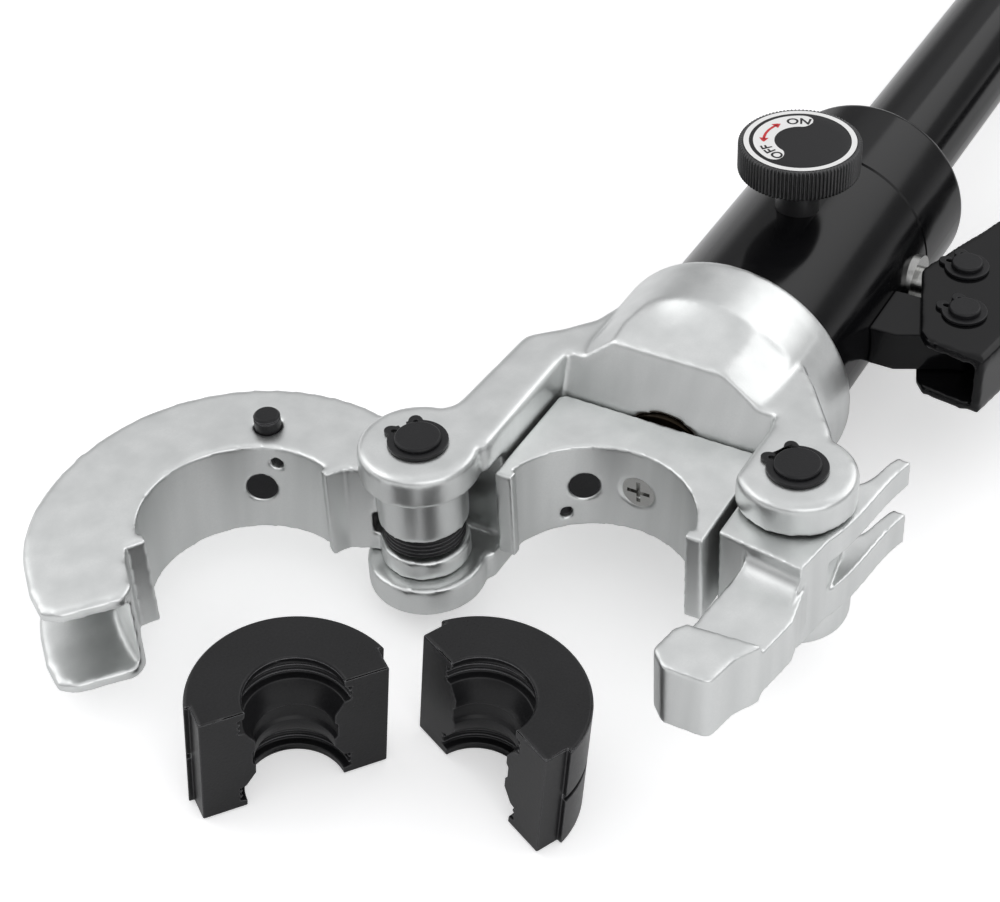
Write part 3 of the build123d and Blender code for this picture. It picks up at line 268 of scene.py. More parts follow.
axis_low, axis_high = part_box("cylinder_body")
knob_low, knob_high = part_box("release_knob")
TOOL_ORIGIN = Vector((
    (knob_low.x + knob_high.x) / 2 - KNOB_X * MM,
    (axis_low.y + axis_high.y) / 2,
    (axis_low.z + axis_high.z) / 2,
))
TOOL = Matrix.Translation(TOOL_ORIGIN) @ Matrix.Rotation(math.radians(ROLL), 4, "X") @ Matrix.Scale(MM, 4)
KNOB = TOOL @ Matrix.Translation((KNOB_X, 0, 0))


# Shader nodes shared by the finishes
def node_group(name, inputs, outputs):
    """Empty node group with named sockets; returns it with its input and output nodes."""
    group = bpy.data.node_groups.new(name, "ShaderNodeTree")
    for title, value in inputs:
        socket = group.interface.new_socket(title, in_out="INPUT", socket_type="NodeSocketFloat")
        socket.default_value = value
    for title in outputs:
        group.interface.new_socket(title, in_out="OUTPUT", socket_type="NodeSocketFloat")
    return group, group.nodes.new("NodeGroupInput"), group.nodes.new("NodeGroupOutput")


def math_node(tree, operation, first, second=None, clamp=False):
    """Math node whose inputs are sockets or numbers; returns its output."""
    node = tree.nodes.new("ShaderNodeMath")
    node.operation = operation
    node.use_clamp = clamp
    for socket, value in zip(node.inputs, (first, second)):
        if isinstance(value, bpy.types.NodeSocket):
            tree.links.new(value, socket)
        elif value is not None:
            socket.default_value = value
    return node.outputs[0]


def make_grain():
    """Group: fine and coarse noise on object coordinates, mixed into one value about a half."""
    group, given, result = node_group(
        "surface_grain",
        [("Fine scale", 900.0), ("Coarse scale", 30.0), ("Coarse share", 0.5)],
        ["Value", "Height"],
    )
    place = group.nodes.new("ShaderNodeTexCoord")
    values = []
    for title, detail in (("Fine scale", 3.0), ("Coarse scale", 4.0)):
        noise = group.nodes.new("ShaderNodeTexNoise")
        noise.inputs["Detail"].default_value = detail
        group.links.new(place.outputs["Object"], noise.inputs["Vector"])
        group.links.new(given.outputs[title], noise.inputs["Scale"])
        values.append(noise.outputs["Fac"])
    fine, coarse = values
    share = given.outputs["Coarse share"]
    mixed = math_node(group, "MULTIPLY", coarse, share)
    rest = math_node(group, "MULTIPLY", fine, math_node(group, "SUBTRACT", 1.0, share))
    group.links.new(math_node(group, "ADD", mixed, rest), result.inputs["Value"])
    group.links.new(fine, result.inputs["Height"])
    return group


def make_edge_wear_and_highlight():
    """Group: edge mask, one along convex and concave edges and broken by noise, for wear and painted
    highlight.
    """
    group, given, result = node_group(
        "edge_wear_and_highlight", [("Radius", 0.0006), ("Grain", 700.0), ("Amount", 1.0)], ["Mask"]
    )
    bevel = group.nodes.new("ShaderNodeBevel")
    bevel.samples = 6
    group.links.new(given.outputs["Radius"], bevel.inputs["Radius"])
    shape = group.nodes.new("ShaderNodeNewGeometry")
    facing = group.nodes.new("ShaderNodeVectorMath")
    facing.operation = "DOT_PRODUCT"
    group.links.new(bevel.outputs["Normal"], facing.inputs[0])
    group.links.new(shape.outputs["Normal"], facing.inputs[1])
    turned = math_node(group, "SUBTRACT", 1.0, facing.outputs["Value"])
    place = group.nodes.new("ShaderNodeTexCoord")
    noise = group.nodes.new("ShaderNodeTexNoise")
    noise.inputs["Detail"].default_value = 5.0
    group.links.new(place.outputs["Object"], noise.inputs["Vector"])
    group.links.new(given.outputs["Grain"], noise.inputs["Scale"])
    speckle = math_node(group, "MULTIPLY", noise.outputs["Fac"], EDGE_MARK_GAIN)
    broken = math_node(group, "MULTIPLY", turned, speckle)
    group.links.new(
        math_node(group, "MULTIPLY", broken, given.outputs["Amount"], clamp=True), result.inputs["Mask"]
    )
    return group


def make_brush_lines():
    """Group: noise stretched along the height, as turning and grinding marks round an upright wall."""
    group, given, result = node_group("brush_lines", [("Across", 900.0), ("Along", 18.0)], ["Value"])
    place = group.nodes.new("ShaderNodeTexCoord")
    stretch = group.nodes.new("ShaderNodeCombineXYZ")
    group.links.new(given.outputs["Across"], stretch.inputs["X"])
    group.links.new(given.outputs["Across"], stretch.inputs["Y"])
    group.links.new(given.outputs["Along"], stretch.inputs["Z"])
    scaled = group.nodes.new("ShaderNodeVectorMath")
    scaled.operation = "MULTIPLY"
    group.links.new(place.outputs["Object"], scaled.inputs[0])
    group.links.new(stretch.outputs["Vector"], scaled.inputs[1])
    noise = group.nodes.new("ShaderNodeTexNoise")
    noise.inputs["Scale"].default_value = 1.0
    noise.inputs["Detail"].default_value = 2.0
    group.links.new(scaled.outputs["Vector"], noise.inputs["Vector"])
    group.links.new(noise.outputs["Fac"], result.inputs["Value"])
    return group


GRAIN = make_grain()
EDGE_WEAR_AND_HIGHLIGHT = make_edge_wear_and_highlight()
BRUSH_LINES = make_brush_lines()


def place_group(tree, group, **values):
    """Group node in a material, with its inputs set by name."""
    node = tree.nodes.new("ShaderNodeGroup")
    node.node_tree = group
    for title, value in values.items():
        node.inputs[title.replace("_", " ").capitalize()].default_value = value
    return node


def spread(tree, value, low, high):
    """Value between nought and one, spread over a range."""
    node = tree.nodes.new("ShaderNodeMapRange")
    node.inputs["From Min"].default_value = NOISE_LOW
    node.inputs["From Max"].default_value = NOISE_HIGH
    node.inputs["To Min"].default_value = low
    node.inputs["To Max"].default_value = high
    tree.links.new(value, node.inputs["Value"])
    return node.outputs["Result"]


def blend_colours(tree, value, first, second):
    """Mix of two colours by a value."""
    node = tree.nodes.new("ShaderNodeMix")
    node.data_type = "RGBA"
    tree.links.new(value, node.inputs["Factor"])
    for title, colour in (("A", first), ("B", second)):
        socket = [one for one in node.inputs if one.name == title and one.type == "RGBA"][0]
        if isinstance(colour, bpy.types.NodeSocket):
            tree.links.new(colour, socket)
        else:
            socket.default_value = (*colour, 1.0)
    return [one for one in node.outputs if one.type == "RGBA"][0]


def finish(name, colours, roughness, metallic, grain, bump, wear_and_highlight=None, streaks=0.0, **plain):
    """Finish made from grain: it varies colour and roughness, its fine noise is the bump, an edge mask
    lightens edges.

    Colours and roughness are each a pair to range between. Grain is a fine scale, a coarse scale and the
    coarse one's share. Wear and highlight is a radius, an amount and the edge colour: bare worn metal on some
    finishes, a painted highlight along the edges on others. Streaks darken the finish in broad upright marks,
    as grinding leaves them on a wall.
    """
    material = bpy.data.materials.new(name)
    material.use_nodes = True
    tree = material.node_tree
    shader = tree.nodes["Principled BSDF"]
    fine, coarse, share = grain
    grains = place_group(tree, GRAIN, fine_scale=fine, coarse_scale=coarse, coarse_share=share)
    colour = blend_colours(tree, spread(tree, grains.outputs["Value"], 0.0, 1.0), *colours)
    rough = spread(tree, grains.outputs["Value"], *roughness)
    if streaks:
        marks = place_group(tree, BRUSH_LINES, across=STREAKS_ACROSS, along=STREAKS_ALONG)
        darker = tuple(channel * (1 - streaks) for channel in colours[0])
        colour = blend_colours(tree, spread(tree, marks.outputs["Value"], 0.0, 0.9), colour, darker)
    # Lighter colour along edges: worn bare metal on the dies, painted highlight on the knob, both on the pins
    if wear_and_highlight:
        radius, amount, edge_colour = wear_and_highlight
        edges = place_group(tree, EDGE_WEAR_AND_HIGHLIGHT, radius=radius, amount=amount)
        colour = blend_colours(tree, edges.outputs["Mask"], colour, edge_colour)
    tree.links.new(colour, shader.inputs["Base Color"])
    tree.links.new(rough, shader.inputs["Roughness"])
    shader.inputs["Metallic"].default_value = metallic
    for title, value in plain.items():
        shader.inputs[title.replace("_", " ")].default_value = value
    relief = tree.nodes.new("ShaderNodeBump")
    relief.inputs["Strength"].default_value = bump
    relief.inputs["Distance"].default_value = BUMP_DEPTH
    tree.links.new(grains.outputs["Height"], relief.inputs["Height"])
    tree.links.new(relief.outputs["Normal"], shader.inputs["Normal"])
    return material


SATIN_STEEL = finish(
    "satin_plated_steel", ((0.675, 0.69, 0.685), (0.735, 0.745, 0.74)), (0.33, 0.38), 1.0,
    (1400, 26, 0.4), 0.08, streaks=0.09,
)
# Lighter grey edges: partly bare-metal wear, partly painted highlight along the pins' and clips' edges
BLACK_STEEL = finish(
    "blackened_steel", ((0.006, 0.006, 0.007), (0.013, 0.013, 0.014)), (0.30, 0.44), 0.0,
    (1600, 60, 0.5), 0.25, wear_and_highlight=(0.0004, 0.8, (0.12, 0.12, 0.125)), Specular_IOR_Level=0.25,
)
DIE_STEEL = finish(
    "die_black", ((0.006, 0.006, 0.0065), (0.013, 0.013, 0.014)), (0.26, 0.38), 0.0,
    (1300, 45, 0.5), 0.20, wear_and_highlight=(0.0005, 0.9, (0.16, 0.16, 0.165)), Specular_IOR_Level=0.25,
)
GLOSS_PAINT = finish(
    "gloss_black_paint", ((0.003, 0.003, 0.0035), (0.005, 0.005, 0.0055)), (0.12, 0.18), 0.0,
    (260, 30, 0.7), 0.03, Specular_IOR_Level=0.2,
)
# Painted highlight: the edge mask colours the knurl's ridges a lighter grey along their edges
KNOB_METAL = finish(
    "knob_dark_metal", ((0.05, 0.05, 0.051), (0.09, 0.09, 0.091)), (0.28, 0.38), 0.9,
    (1500, 60, 0.5), 0.15, wear_and_highlight=(0.0003, 1.0, (0.24, 0.24, 0.24)),
)
PRINT_BLACK = finish(
    "printed_black", ((0.006, 0.006, 0.007), (0.010, 0.010, 0.011)), (0.38, 0.46), 0.0,
    (1200, 80, 0.6), 0.04, Specular_IOR_Level=0.3,
)
PRINT_WHITE = finish(
    "printed_white", ((0.80, 0.80, 0.79), (0.86, 0.86, 0.85)), (0.4, 0.5), 0.0, (1200, 80, 0.6), 0.03
)
PRINT_RED = finish(
    "printed_red", ((0.52, 0.012, 0.018), (0.60, 0.02, 0.025)), (0.4, 0.5), 0.0, (1200, 80, 0.6), 0.03
)
BRIGHT_STEEL = finish(
    "bright_steel", ((0.34, 0.34, 0.33), (0.44, 0.44, 0.43)), (0.16, 0.26), 1.0, (1500, 60, 0.5), 0.08
)
SPRING_STEEL = finish(
    "spring_steel", ((0.05, 0.05, 0.052), (0.09, 0.09, 0.092)), (0.25, 0.36), 0.9, (1500, 60, 0.5), 0.1
)
STEM_STEEL = finish(
    "stem_black", ((0.014, 0.014, 0.015), (0.022, 0.022, 0.023)), (0.26, 0.36), 0.3, (1500, 60, 0.5), 0.1
)
BRONZE = finish(
    "bush_bronze", ((0.025, 0.018, 0.012), (0.04, 0.03, 0.02)), (0.28, 0.38), 1.0, (1500, 60, 0.5), 0.08
)
GRIP_RUBBER = finish(
    "grip_rubber", ((0.012, 0.012, 0.012), (0.022, 0.022, 0.022)), (0.6, 0.75), 0.0, (700, 50, 0.4), 0.5
)
SEAL_RUBBER = finish(
    "seal_rubber", ((0.010, 0.010, 0.010), (0.016, 0.016, 0.016)), (0.45, 0.6), 0.0, (900, 50, 0.4), 0.2
)


# Meshes
def new_object(name, mesh, body, material, replaced=()):
    """Piece in the scene that rides on a body, wears one finish and may stand for CAD nodes."""
    piece = bpy.data.objects.new(name, mesh)
    bpy.context.scene.collection.objects.link(piece)
    mesh.materials.clear()
    mesh.materials.append(material)
    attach(piece, body)
    if replaced:
        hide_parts(*replaced)
    return piece


def body_of(node):
    """Name of the body that carries a CAD node."""
    return frame["nodes"][node]["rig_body"]


def welded_copy(node, name):
    """Mesh of a CAD node with its loose triangles joined and its flat faces made whole."""
    mesh = frame["nodes"][node].data.copy()
    mesh.name = name
    if "custom_normal" in mesh.attributes:
        mesh.attributes.remove(mesh.attributes["custom_normal"])
    form = bmesh.new()
    form.from_mesh(mesh)
    bmesh.ops.remove_doubles(form, verts=form.verts, dist=WELD)
    bmesh.ops.dissolve_limit(form, angle_limit=FLAT_ANGLE, verts=form.verts, edges=form.edges)
    form.to_mesh(mesh)
    form.free()
    return mesh


def closed_up(mesh):
    """Shell with its poles joined and its faces turned outwards."""
    form = bmesh.new()
    form.from_mesh(mesh)
    bmesh.ops.remove_doubles(form, verts=form.verts, dist=WELD)
    bmesh.ops.recalc_face_normals(form, faces=form.faces)
    form.to_mesh(mesh)
    form.free()
    return mesh


def bevelled(mesh, node, material, width=EDGE_BREAK, segments=3):
    """Piece that stands for a CAD node, its sharp edges rounded by a bevel, in millimetres."""
    mesh.shade_smooth()
    piece = new_object(mesh.name, mesh, body_of(node), material, (node,))
    bevel = piece.modifiers.new("edge_round", "BEVEL")
    bevel.width = width * MM
    bevel.segments = segments
    bevel.limit_method = "ANGLE"
    bevel.angle_limit = SHARP_ANGLE
    bevel.use_clamp_overlap = False
    bevel.harden_normals = True
    bevel.miter_outer = "MITER_ARC"
    return piece


def rounded(node, name, material, width, segments=3):
    """Copy of a CAD node with its sharp edges rounded."""
    return bevelled(welded_copy(node, name), node, material, width, segments)


def grid_mesh(name, points, close_across=False, close_along=False):
    """Mesh of quads over an array of points [along, across, xyz], closed round either way where asked."""
    rows, columns = points.shape[:2]
    index = np.arange(rows * columns).reshape(rows, columns)
    if close_across:
        index = np.concatenate([index, index[:, :1]], axis=1)
    if close_along:
        index = np.concatenate([index, index[:1]], axis=0)
    quads = np.stack([index[:-1, :-1], index[:-1, 1:], index[1:, 1:], index[1:, :-1]], axis=-1)
    mesh = bpy.data.meshes.new(name)
    mesh.from_pydata(points.reshape(-1, 3).tolist(), [], quads.reshape(-1, 4).tolist())
    mesh.shade_smooth()
    return mesh


def placed_points(points, matrix):
    """Array of points moved by a matrix."""
    turned = np.array(matrix)
    return points @ turned[:3, :3].T + turned[:3, 3]


def turned_profile(profile, turns):
    """Surface of revolution: point (r cos t, r sin t, z) for each profile pair (r, z) and angle t."""
    r, z = np.array(profile, float).T
    t = np.linspace(0, 2 * math.pi, turns, endpoint=False)
    return np.stack([
        r[:, None] * np.cos(t), r[:, None] * np.sin(t), np.repeat(z[:, None], turns, axis=1),
    ], axis=-1)


def remeshed(mesh, voxel):
    """Even skin of small quads over a mesh, or over several that overlap, its voxels in millimetres."""
    helper = bpy.data.objects.new(mesh.name, mesh)
    bpy.context.scene.collection.objects.link(helper)
    skin = helper.modifiers.new("skin", "REMESH")
    skin.mode = "VOXEL"
    skin.voxel_size = voxel * MM
    ready = helper.evaluated_get(bpy.context.evaluated_depsgraph_get())
    result = bpy.data.meshes.new_from_object(ready)
    result.name = mesh.name
    bpy.data.objects.remove(helper)
    return result


def corners_of(mesh):
    """Array of a mesh's corners, in millimetres in the tool's own frame."""
    flat = np.empty(len(mesh.vertices) * 3, np.float32)
    mesh.vertices.foreach_get("co", flat)
    return placed_points(flat.reshape(-1, 3).astype(float), TOOL.inverted())


def set_corners(mesh, points):
    """Puts corners given in the tool's frame back into a mesh."""
    mesh.vertices.foreach_set("co", placed_points(points, TOOL).astype(np.float32).ravel())
    mesh.update()


def softened(mesh, rounds, weight=None):
    """Rounds edges: in each round a corner moves half its weight of the way to its neighbours' mean."""
    points = corners_of(mesh)
    count = len(points)
    share = 0.5 * (np.ones(count) if weight is None else weight(*points.T))
    pairs = np.empty(len(mesh.edges) * 2, np.int32)
    mesh.edges.foreach_get("vertices", pairs)
    first, second = pairs.reshape(-1, 2).T
    neighbours = np.bincount(first, minlength=count) + np.bincount(second, minlength=count)
    for _ in range(rounds):
        for axis in range(3):
            line = points[:, axis]
            total = np.bincount(first, line[second], count) + np.bincount(second, line[first], count)
            points[:, axis] = line + share * (total / neighbours - line)
    set_corners(mesh, points)
    mesh.shade_smooth()
    return mesh


def closed_tube(name, rings):
    """Shell over rings of points in the tool's frame, each end closed at the middle of its last ring."""
    poles = [np.repeat(ring.mean(0)[None, None], rings.shape[1], axis=1) for ring in (rings[0], rings[-1])]
    points = placed_points(np.concatenate([poles[0], rings, poles[1]]), TOOL)
    return closed_up(grid_mesh(name, points, close_across=True))


def rising(value, start, run):
    """Nought up to a start, one from the end of its run, and even between."""
    return np.clip((value - start) / run, 0, 1)


def joined(first, *others):
    """First mesh with others added to it as they are."""
    form = bmesh.new()
    for mesh in (first, *others):
        form.from_mesh(mesh)
    form.to_mesh(first)
    form.free()
    return first


# Yoke
def neck_height(x, y):
    """Height of the neck over a point: min(collar circle, pad, facet), and the circle itself behind the pad.

    The pad is a plane that climbs towards the collar and ends in a parabola that runs up to the circle. Its
    half width and the slope of the facet beside it change evenly from the front edge to the collar's edge.
    """
    along = np.clip((PAD_FRONT - x) / (PAD_FRONT - COLLAR_EDGE), 0, 1)
    circle = np.sqrt(np.clip(COLLAR_R**2 - y**2, 0, None))
    plane = PAD_UP + PAD_TILT * (PAD_FRONT - x)
    plane_end = PAD_UP + PAD_TILT * (PAD_FRONT - COLLAR_EDGE)
    half, slope = (
        np.where(y > 0, near[0] + (near[1] - near[0]) * along, far[0] + (far[1] - far[0]) * along)
        for near, far in zip(NEAR_SIDE, FAR_SIDE)
    )
    climb = np.clip((RISE_START - x) / (RISE_START - COLLAR_EDGE), 0, 1) ** 2
    rise = np.clip(circle - plane_end, 0, None) * climb
    facet = plane - slope * np.clip(np.abs(y) - half, 0, None)
    cut = np.minimum(facet + np.where(np.abs(y) < half, rise, 0), circle)
    return np.where(x < COLLAR_EDGE, circle, cut)


def neck_saddle(side):
    """Shell whose top is the neck's height over a grid of x and y, and whose foot lies inside the arms."""
    rows, columns = 60, 80
    u = np.linspace(0, 1, rows)[:, None]
    y = np.linspace(-FACET_HALF, FACET_HALF, columns)[None, :]
    front = THROAT_X - THROAT_LEAN * (neck_height(np.full_like(y, PAD_FRONT), y) - THROAT_UP) - SADDLE_INSET
    x = SADDLE_REAR + u * (front - SADDLE_REAR)
    top = neck_height(x, np.repeat(y, rows, axis=0))
    y = np.repeat(y, rows, axis=0)
    skin = np.stack([x, y, side * top], axis=-1)
    base = np.stack([x, y, np.full_like(top, side * SADDLE_FLOOR)], axis=-1)
    return closed_tube("neck_saddle", np.concatenate([skin, base[:, ::-1]], axis=1))


def make_yoke():
    """Forged yoke: the CAD form and the neck's facets in one skin, pressed to the facets and softened."""
    mesh = joined(welded_copy("head_yoke", "yoke_forged"), neck_saddle(1), neck_saddle(-1))
    mesh = remeshed(mesh, YOKE_VOXEL)
    x, y, z = corners_of(mesh).T
    on_neck = (x > SADDLE_REAR) & (x < THROAT_X) & (np.abs(z) > ARM_TOP) & (np.abs(y) < COLLAR_R)
    limit = np.maximum(neck_height(x, y), ARM_TOP)
    pressed = np.where(on_neck, np.sign(z) * np.minimum(np.abs(z), limit), z)
    set_corners(mesh, np.stack([x, y, pressed], axis=-1))
    mesh = softened(mesh, YOKE_ROUNDS)
    return new_object("yoke_forged", mesh, "tool", SATIN_STEEL, ("head_yoke",))


# Latch
def root_fillet(side):
    """Hollow round from the root's front wall to the forearm: a quarter circle carried along the wall."""
    t = np.linspace(0, math.pi / 2, 9)
    run = np.concatenate([[-2, -2, 0], FILLET_R * (1 - np.cos(t)), [FILLET_R + 1, FILLET_R + 1]])
    up = np.concatenate([
        [FOREARM_UP - 2, FOREARM_UP + FILLET_R, FOREARM_UP + FILLET_R],
        FOREARM_UP + FILLET_R * (1 - np.sin(t)),
        [FOREARM_UP, FOREARM_UP - 2],
    ])
    y = np.array(FILLET_ROWS)[:, None]
    x = ROOT_FRONT + ROOT_SLANT * (y - ROOT_FOOT_Y) + run[None, :]
    across = np.repeat(y, len(run), axis=1)
    height = np.repeat(side * up[None, :], len(y), axis=0)
    return closed_tube("root_fillet", np.stack([x, across, height], axis=-1))


def make_latch():
    """Forged hook latch: keen at its root and its horns, rounder towards its hook."""
    def rounder(x, y, z):
        """Weight of the softening: even, then rising along x where the hook starts."""
        return LATCH_SOFT + rising(x, HOOK_START, HOOK_BLEND) * HOOK_SOFT

    mesh = joined(welded_copy("latch", "latch_forged"), root_fillet(1), root_fillet(-1))
    mesh = softened(remeshed(mesh, LATCH_VOXEL), LATCH_ROUNDS, rounder)
    return new_object("latch_forged", mesh, "latch", SATIN_STEEL, ("latch",))


# Jaw
def jaw_frame(points):
    """Corners in the open jaw's own frame, centred on its seat, x across and y away from the hinge."""
    reach = math.hypot(SEAT_CLOSED - HINGE_X, HINGE_Y)
    bearing = math.atan2(-HINGE_Y, SEAT_CLOSED - HINGE_X) - math.radians(JAW_CLOSED)
    turn = math.radians(90 - JAW_CLOSED)
    x = points[:, 0] - HINGE_X - reach * math.cos(bearing)
    y = points[:, 1] - HINGE_Y - reach * math.sin(bearing)
    return x * math.cos(turn) + y * math.sin(turn), y * math.cos(turn) - x * math.sin(turn), turn


def make_jaw():
    """Forged jaw: its outer wall swells evenly to the tip, and its tip is rounder than its seat.

    Wall radius = JAW_R + SWELL * smooth step of the angle, where the solid has a straight run between two
    corners; points between the seat and the wall move by their share of it.
    """
    mesh = remeshed(welded_copy("upper_jaw", "jaw_forged"), JAW_VOXEL)
    points = corners_of(mesh)
    u, v, turn = jaw_frame(points)
    radius = np.hypot(u, v)
    angle = np.degrees(np.arctan2(v, u))
    (far_u, far_v), (foot_u, foot_v) = TIP_CORNER, TIP_FOOT
    cross = far_u * foot_v - far_v * foot_u
    across = np.cos(np.radians(angle)) * (foot_v - far_v) - np.sin(np.radians(angle)) * (foot_u - far_u)
    straight = cross / np.where(np.abs(across) < 1, 1, across)
    wall = np.where(angle > math.degrees(math.atan2(foot_v, foot_u)), np.maximum(straight, JAW_R), JAW_R)
    share = np.clip((angle - SWELL_FROM) / (SWELL_TO - SWELL_FROM), 0, 1)
    aim = JAW_R + SWELL * share * share * (3 - 2 * share)
    last = math.degrees(math.atan2(far_v, far_u))
    near = (angle > SWELL_FROM) & (angle < last) & (radius < JAW_R + SWELL_REACH)
    on_wall = (np.abs(radius - wall) < SNAP) & (angle > WALL_FROM) & (angle < last)
    on_seat = (np.abs(radius - SEAT_R) < SNAP) & (v < SEAT_TOP)
    snap = np.where(on_wall, wall - radius, 0) + np.where(on_seat, SEAT_R - radius, 0)
    share_out = np.clip((radius + snap - SWELL_FOOT) / (wall - SWELL_FOOT), 0, 1)
    grow = snap + np.where(near, np.clip(aim - wall, 0, None) * share_out, 0)
    out = np.stack([u / radius * grow, v / radius * grow], axis=-1)
    points[:, 0] += out[:, 0] * math.cos(turn) - out[:, 1] * math.sin(turn)
    points[:, 1] += out[:, 0] * math.sin(turn) + out[:, 1] * math.cos(turn)
    set_corners(mesh, points)

    def rounder(x, y, z):
        """Weight of the softening: a base, more past a radius, more again at the tip."""
        across, away, _ = jaw_frame(np.stack([x, y, z], axis=-1))
        tip = rising(across, TIP_ACROSS, TIP_ACROSS_BLEND) * rising(away, TIP_AWAY, TIP_AWAY_BLEND)
        outside = rising(np.hypot(across, away), OUTSIDE_START, OUTSIDE_BLEND)
        return np.clip(JAW_SOFT + OUTSIDE_SOFT * outside + TIP_SOFT * tip, 0, 1)

    mesh = softened(mesh, JAW_ROUNDS, rounder)
    return new_object("jaw_forged", mesh, "jaw", SATIN_STEEL, ("upper_jaw",))


def make_block():
    """Ram's die block, skinned and with its edges just broken."""
    mesh = softened(remeshed(welded_copy("die_block", "block_milled"), BLOCK_VOXEL), BLOCK_ROUNDS)
    return new_object("block_milled", mesh, body_of("die_block"), SATIN_STEEL, ("die_block",))


def make_bracket():
    """Bent sheet bracket, its two long outer corners rounder than its cut edges."""
    lean = math.radians(LEVER_TURN)

    def rounder(x, y, z):
        """Weight of the softening: a base, and full where a point is near the web and near a side."""
        under_web = (WEB_FRONT[1] - y) * math.cos(lean) - (x - WEB_FRONT[0]) * math.sin(lean)
        beside = np.abs(z) - BRACKET_HALF + SIDE_NEAR
        corner = rising(WEB_NEAR - under_web, 0, WEB_BLEND) * rising(beside, 0, SIDE_BLEND)
        return np.clip(BRACKET_SOFT + corner, 0, 1)

    mesh = remeshed(welded_copy("handle_bracket", "bracket_painted"), BRACKET_VOXEL)
    mesh = softened(mesh, BRACKET_ROUNDS, rounder)
    return new_object("bracket_painted", mesh, "lever", GLOSS_PAINT, ("handle_bracket",))


def make_spring():
    """Close-wound torsion spring: a round wire at (R cos t, R sin t) about the hinge, rising with t."""
    turns = np.linspace(0, SPRING_TURNS, SPRING_TURNS * TURN_STEPS + 1)
    angle = 2 * math.pi * turns + math.radians(SPRING_START)
    low = SPRING_LOW + SPRING_WIRE
    lift = low + (SPRING_HIGH - SPRING_WIRE - low) * turns / SPRING_TURNS
    spot = np.stack([HINGE_X + SPRING_R * np.cos(angle), HINGE_Y + SPRING_R * np.sin(angle), lift], axis=-1)
    outward = np.stack([np.cos(angle), np.sin(angle), np.zeros_like(angle)], axis=-1)
    around = np.linspace(0, 2 * math.pi, WIRE_SIDES, endpoint=False)
    around = around[None, :, None]
    up = np.array([0.0, 0.0, 1.0])
    rings = spot[:, None] + SPRING_WIRE * (np.cos(around) * outward[:, None] + np.sin(around) * up)
    mesh = closed_tube("hinge_spring_wound", rings)
    return new_object(
        "hinge_spring_wound", mesh, body_of("hinge_spring"), BLACK_STEEL, ("hinge_spring",)
    )


# Dies and clips
def die_levels():
    """Rows of height, edge break, outer radius and bore radius from the foot to the top of a half die."""
    lower = [
        (0, DIE_EDGE, 16.1), (0.6, 0.2, 15.5), (DIE_EDGE, 0, 15.5), (3, 0, 15.5),
        (3.5, 0, 17.8), (4.8, 0, 17.8), (5.1, 0, 17.0), (5.6, 0, 17.0),
        (5.9, 0, 17.8), (7.2, 0, 17.8), (7.5, 0, 17.0), (8.0, 0, 17.0),
        (8.3, 0, 17.8), (9.2, 0, 17.8), (9.7, 0, 15.5), (14.5, 0, 12.5), (18, 0, 12.5), (19, 0, 13.5),
    ]
    groove = (DIE_H - DIE_GROOVE_H) / 2
    half = [(up, edge, DIE_R - edge, bore) for up, edge, bore in lower]
    half += [(groove, 0, DIE_R, 13.5), (groove, 0, DIE_R - DIE_GROOVE, 13.5)]
    return np.array(half + [(DIE_H - up, edge, outer, bore) for up, edge, outer, bore in reversed(half)])


def make_die(node, spot, turn):
    """Half die: its plan outline (back arc, shoulders, flat, bore arc) carried up through its levels.

    At each level the outline is drawn in by the edge break e: the flat lies at y = -e, the shoulder at
    y = -SHOULDER - e and x = SHOULDER_HALF - e.
    """
    up, edge, outer, bore = die_levels().T[:, :, None]
    low = -SHOULDER - edge
    start = np.arcsin(low / outer)
    back = start - (math.pi + 2 * start) * np.linspace(0, 1, BACK_STEPS)[None, :]
    round_bore = -np.arcsin(edge / bore)
    hollow = math.pi - round_bore + (math.pi + 2 * round_bore) * np.linspace(0, 1, BORE_STEPS)[None, :]
    side = SHOULDER_HALF - edge
    left = np.concatenate([-side, -side], axis=1)
    right = np.concatenate([side, side], axis=1)
    x = np.concatenate([outer * np.cos(back), left, bore * np.cos(hollow), right], axis=1)
    y = np.concatenate([
        outer * np.sin(back), low, -edge, bore * np.sin(hollow), -edge, low,
    ], axis=1)
    place = Matrix.Translation((TOOL_ORIGIN.x, TOOL_ORIGIN.y, 0)) @ Matrix.Scale(MM, 4)
    place = place @ Matrix.Translation((*spot, 0)) @ Matrix.Rotation(math.radians(turn), 4, "Z")
    points = placed_points(np.stack([x, y, np.repeat(up, x.shape[1], axis=1)], axis=-1), place)
    mesh = grid_mesh(node + "_black", points, close_across=True)
    form = bmesh.new()
    form.from_mesh(mesh)
    form.verts.ensure_lookup_table()
    count = x.shape[1]
    form.faces.new([form.verts[i] for i in range(count)])
    form.faces.new([form.verts[len(form.verts) - count + i] for i in range(count)])
    form.to_mesh(mesh)
    form.free()
    return bevelled(closed_up(mesh), node, DIE_STEEL)


def widened_clip(node, x, y, pin):
    """Retaining clip, wider past its pin: outside the pin a radius r becomes pin + spread * (r - pin)."""
    mesh = welded_copy(node, node + "_black")
    points = corners_of(mesh)
    reach = np.hypot(points[:, 0] - x, points[:, 1] - y)
    grown = np.where(reach > pin, pin + CLIP_SPREAD * (reach - pin), reach) / np.maximum(reach, 1)
    points[:, 0] = x + (points[:, 0] - x) * grown
    points[:, 1] = y + (points[:, 1] - y) * grown
    set_corners(mesh, points)
    return bevelled(mesh, node, BLACK_STEEL)


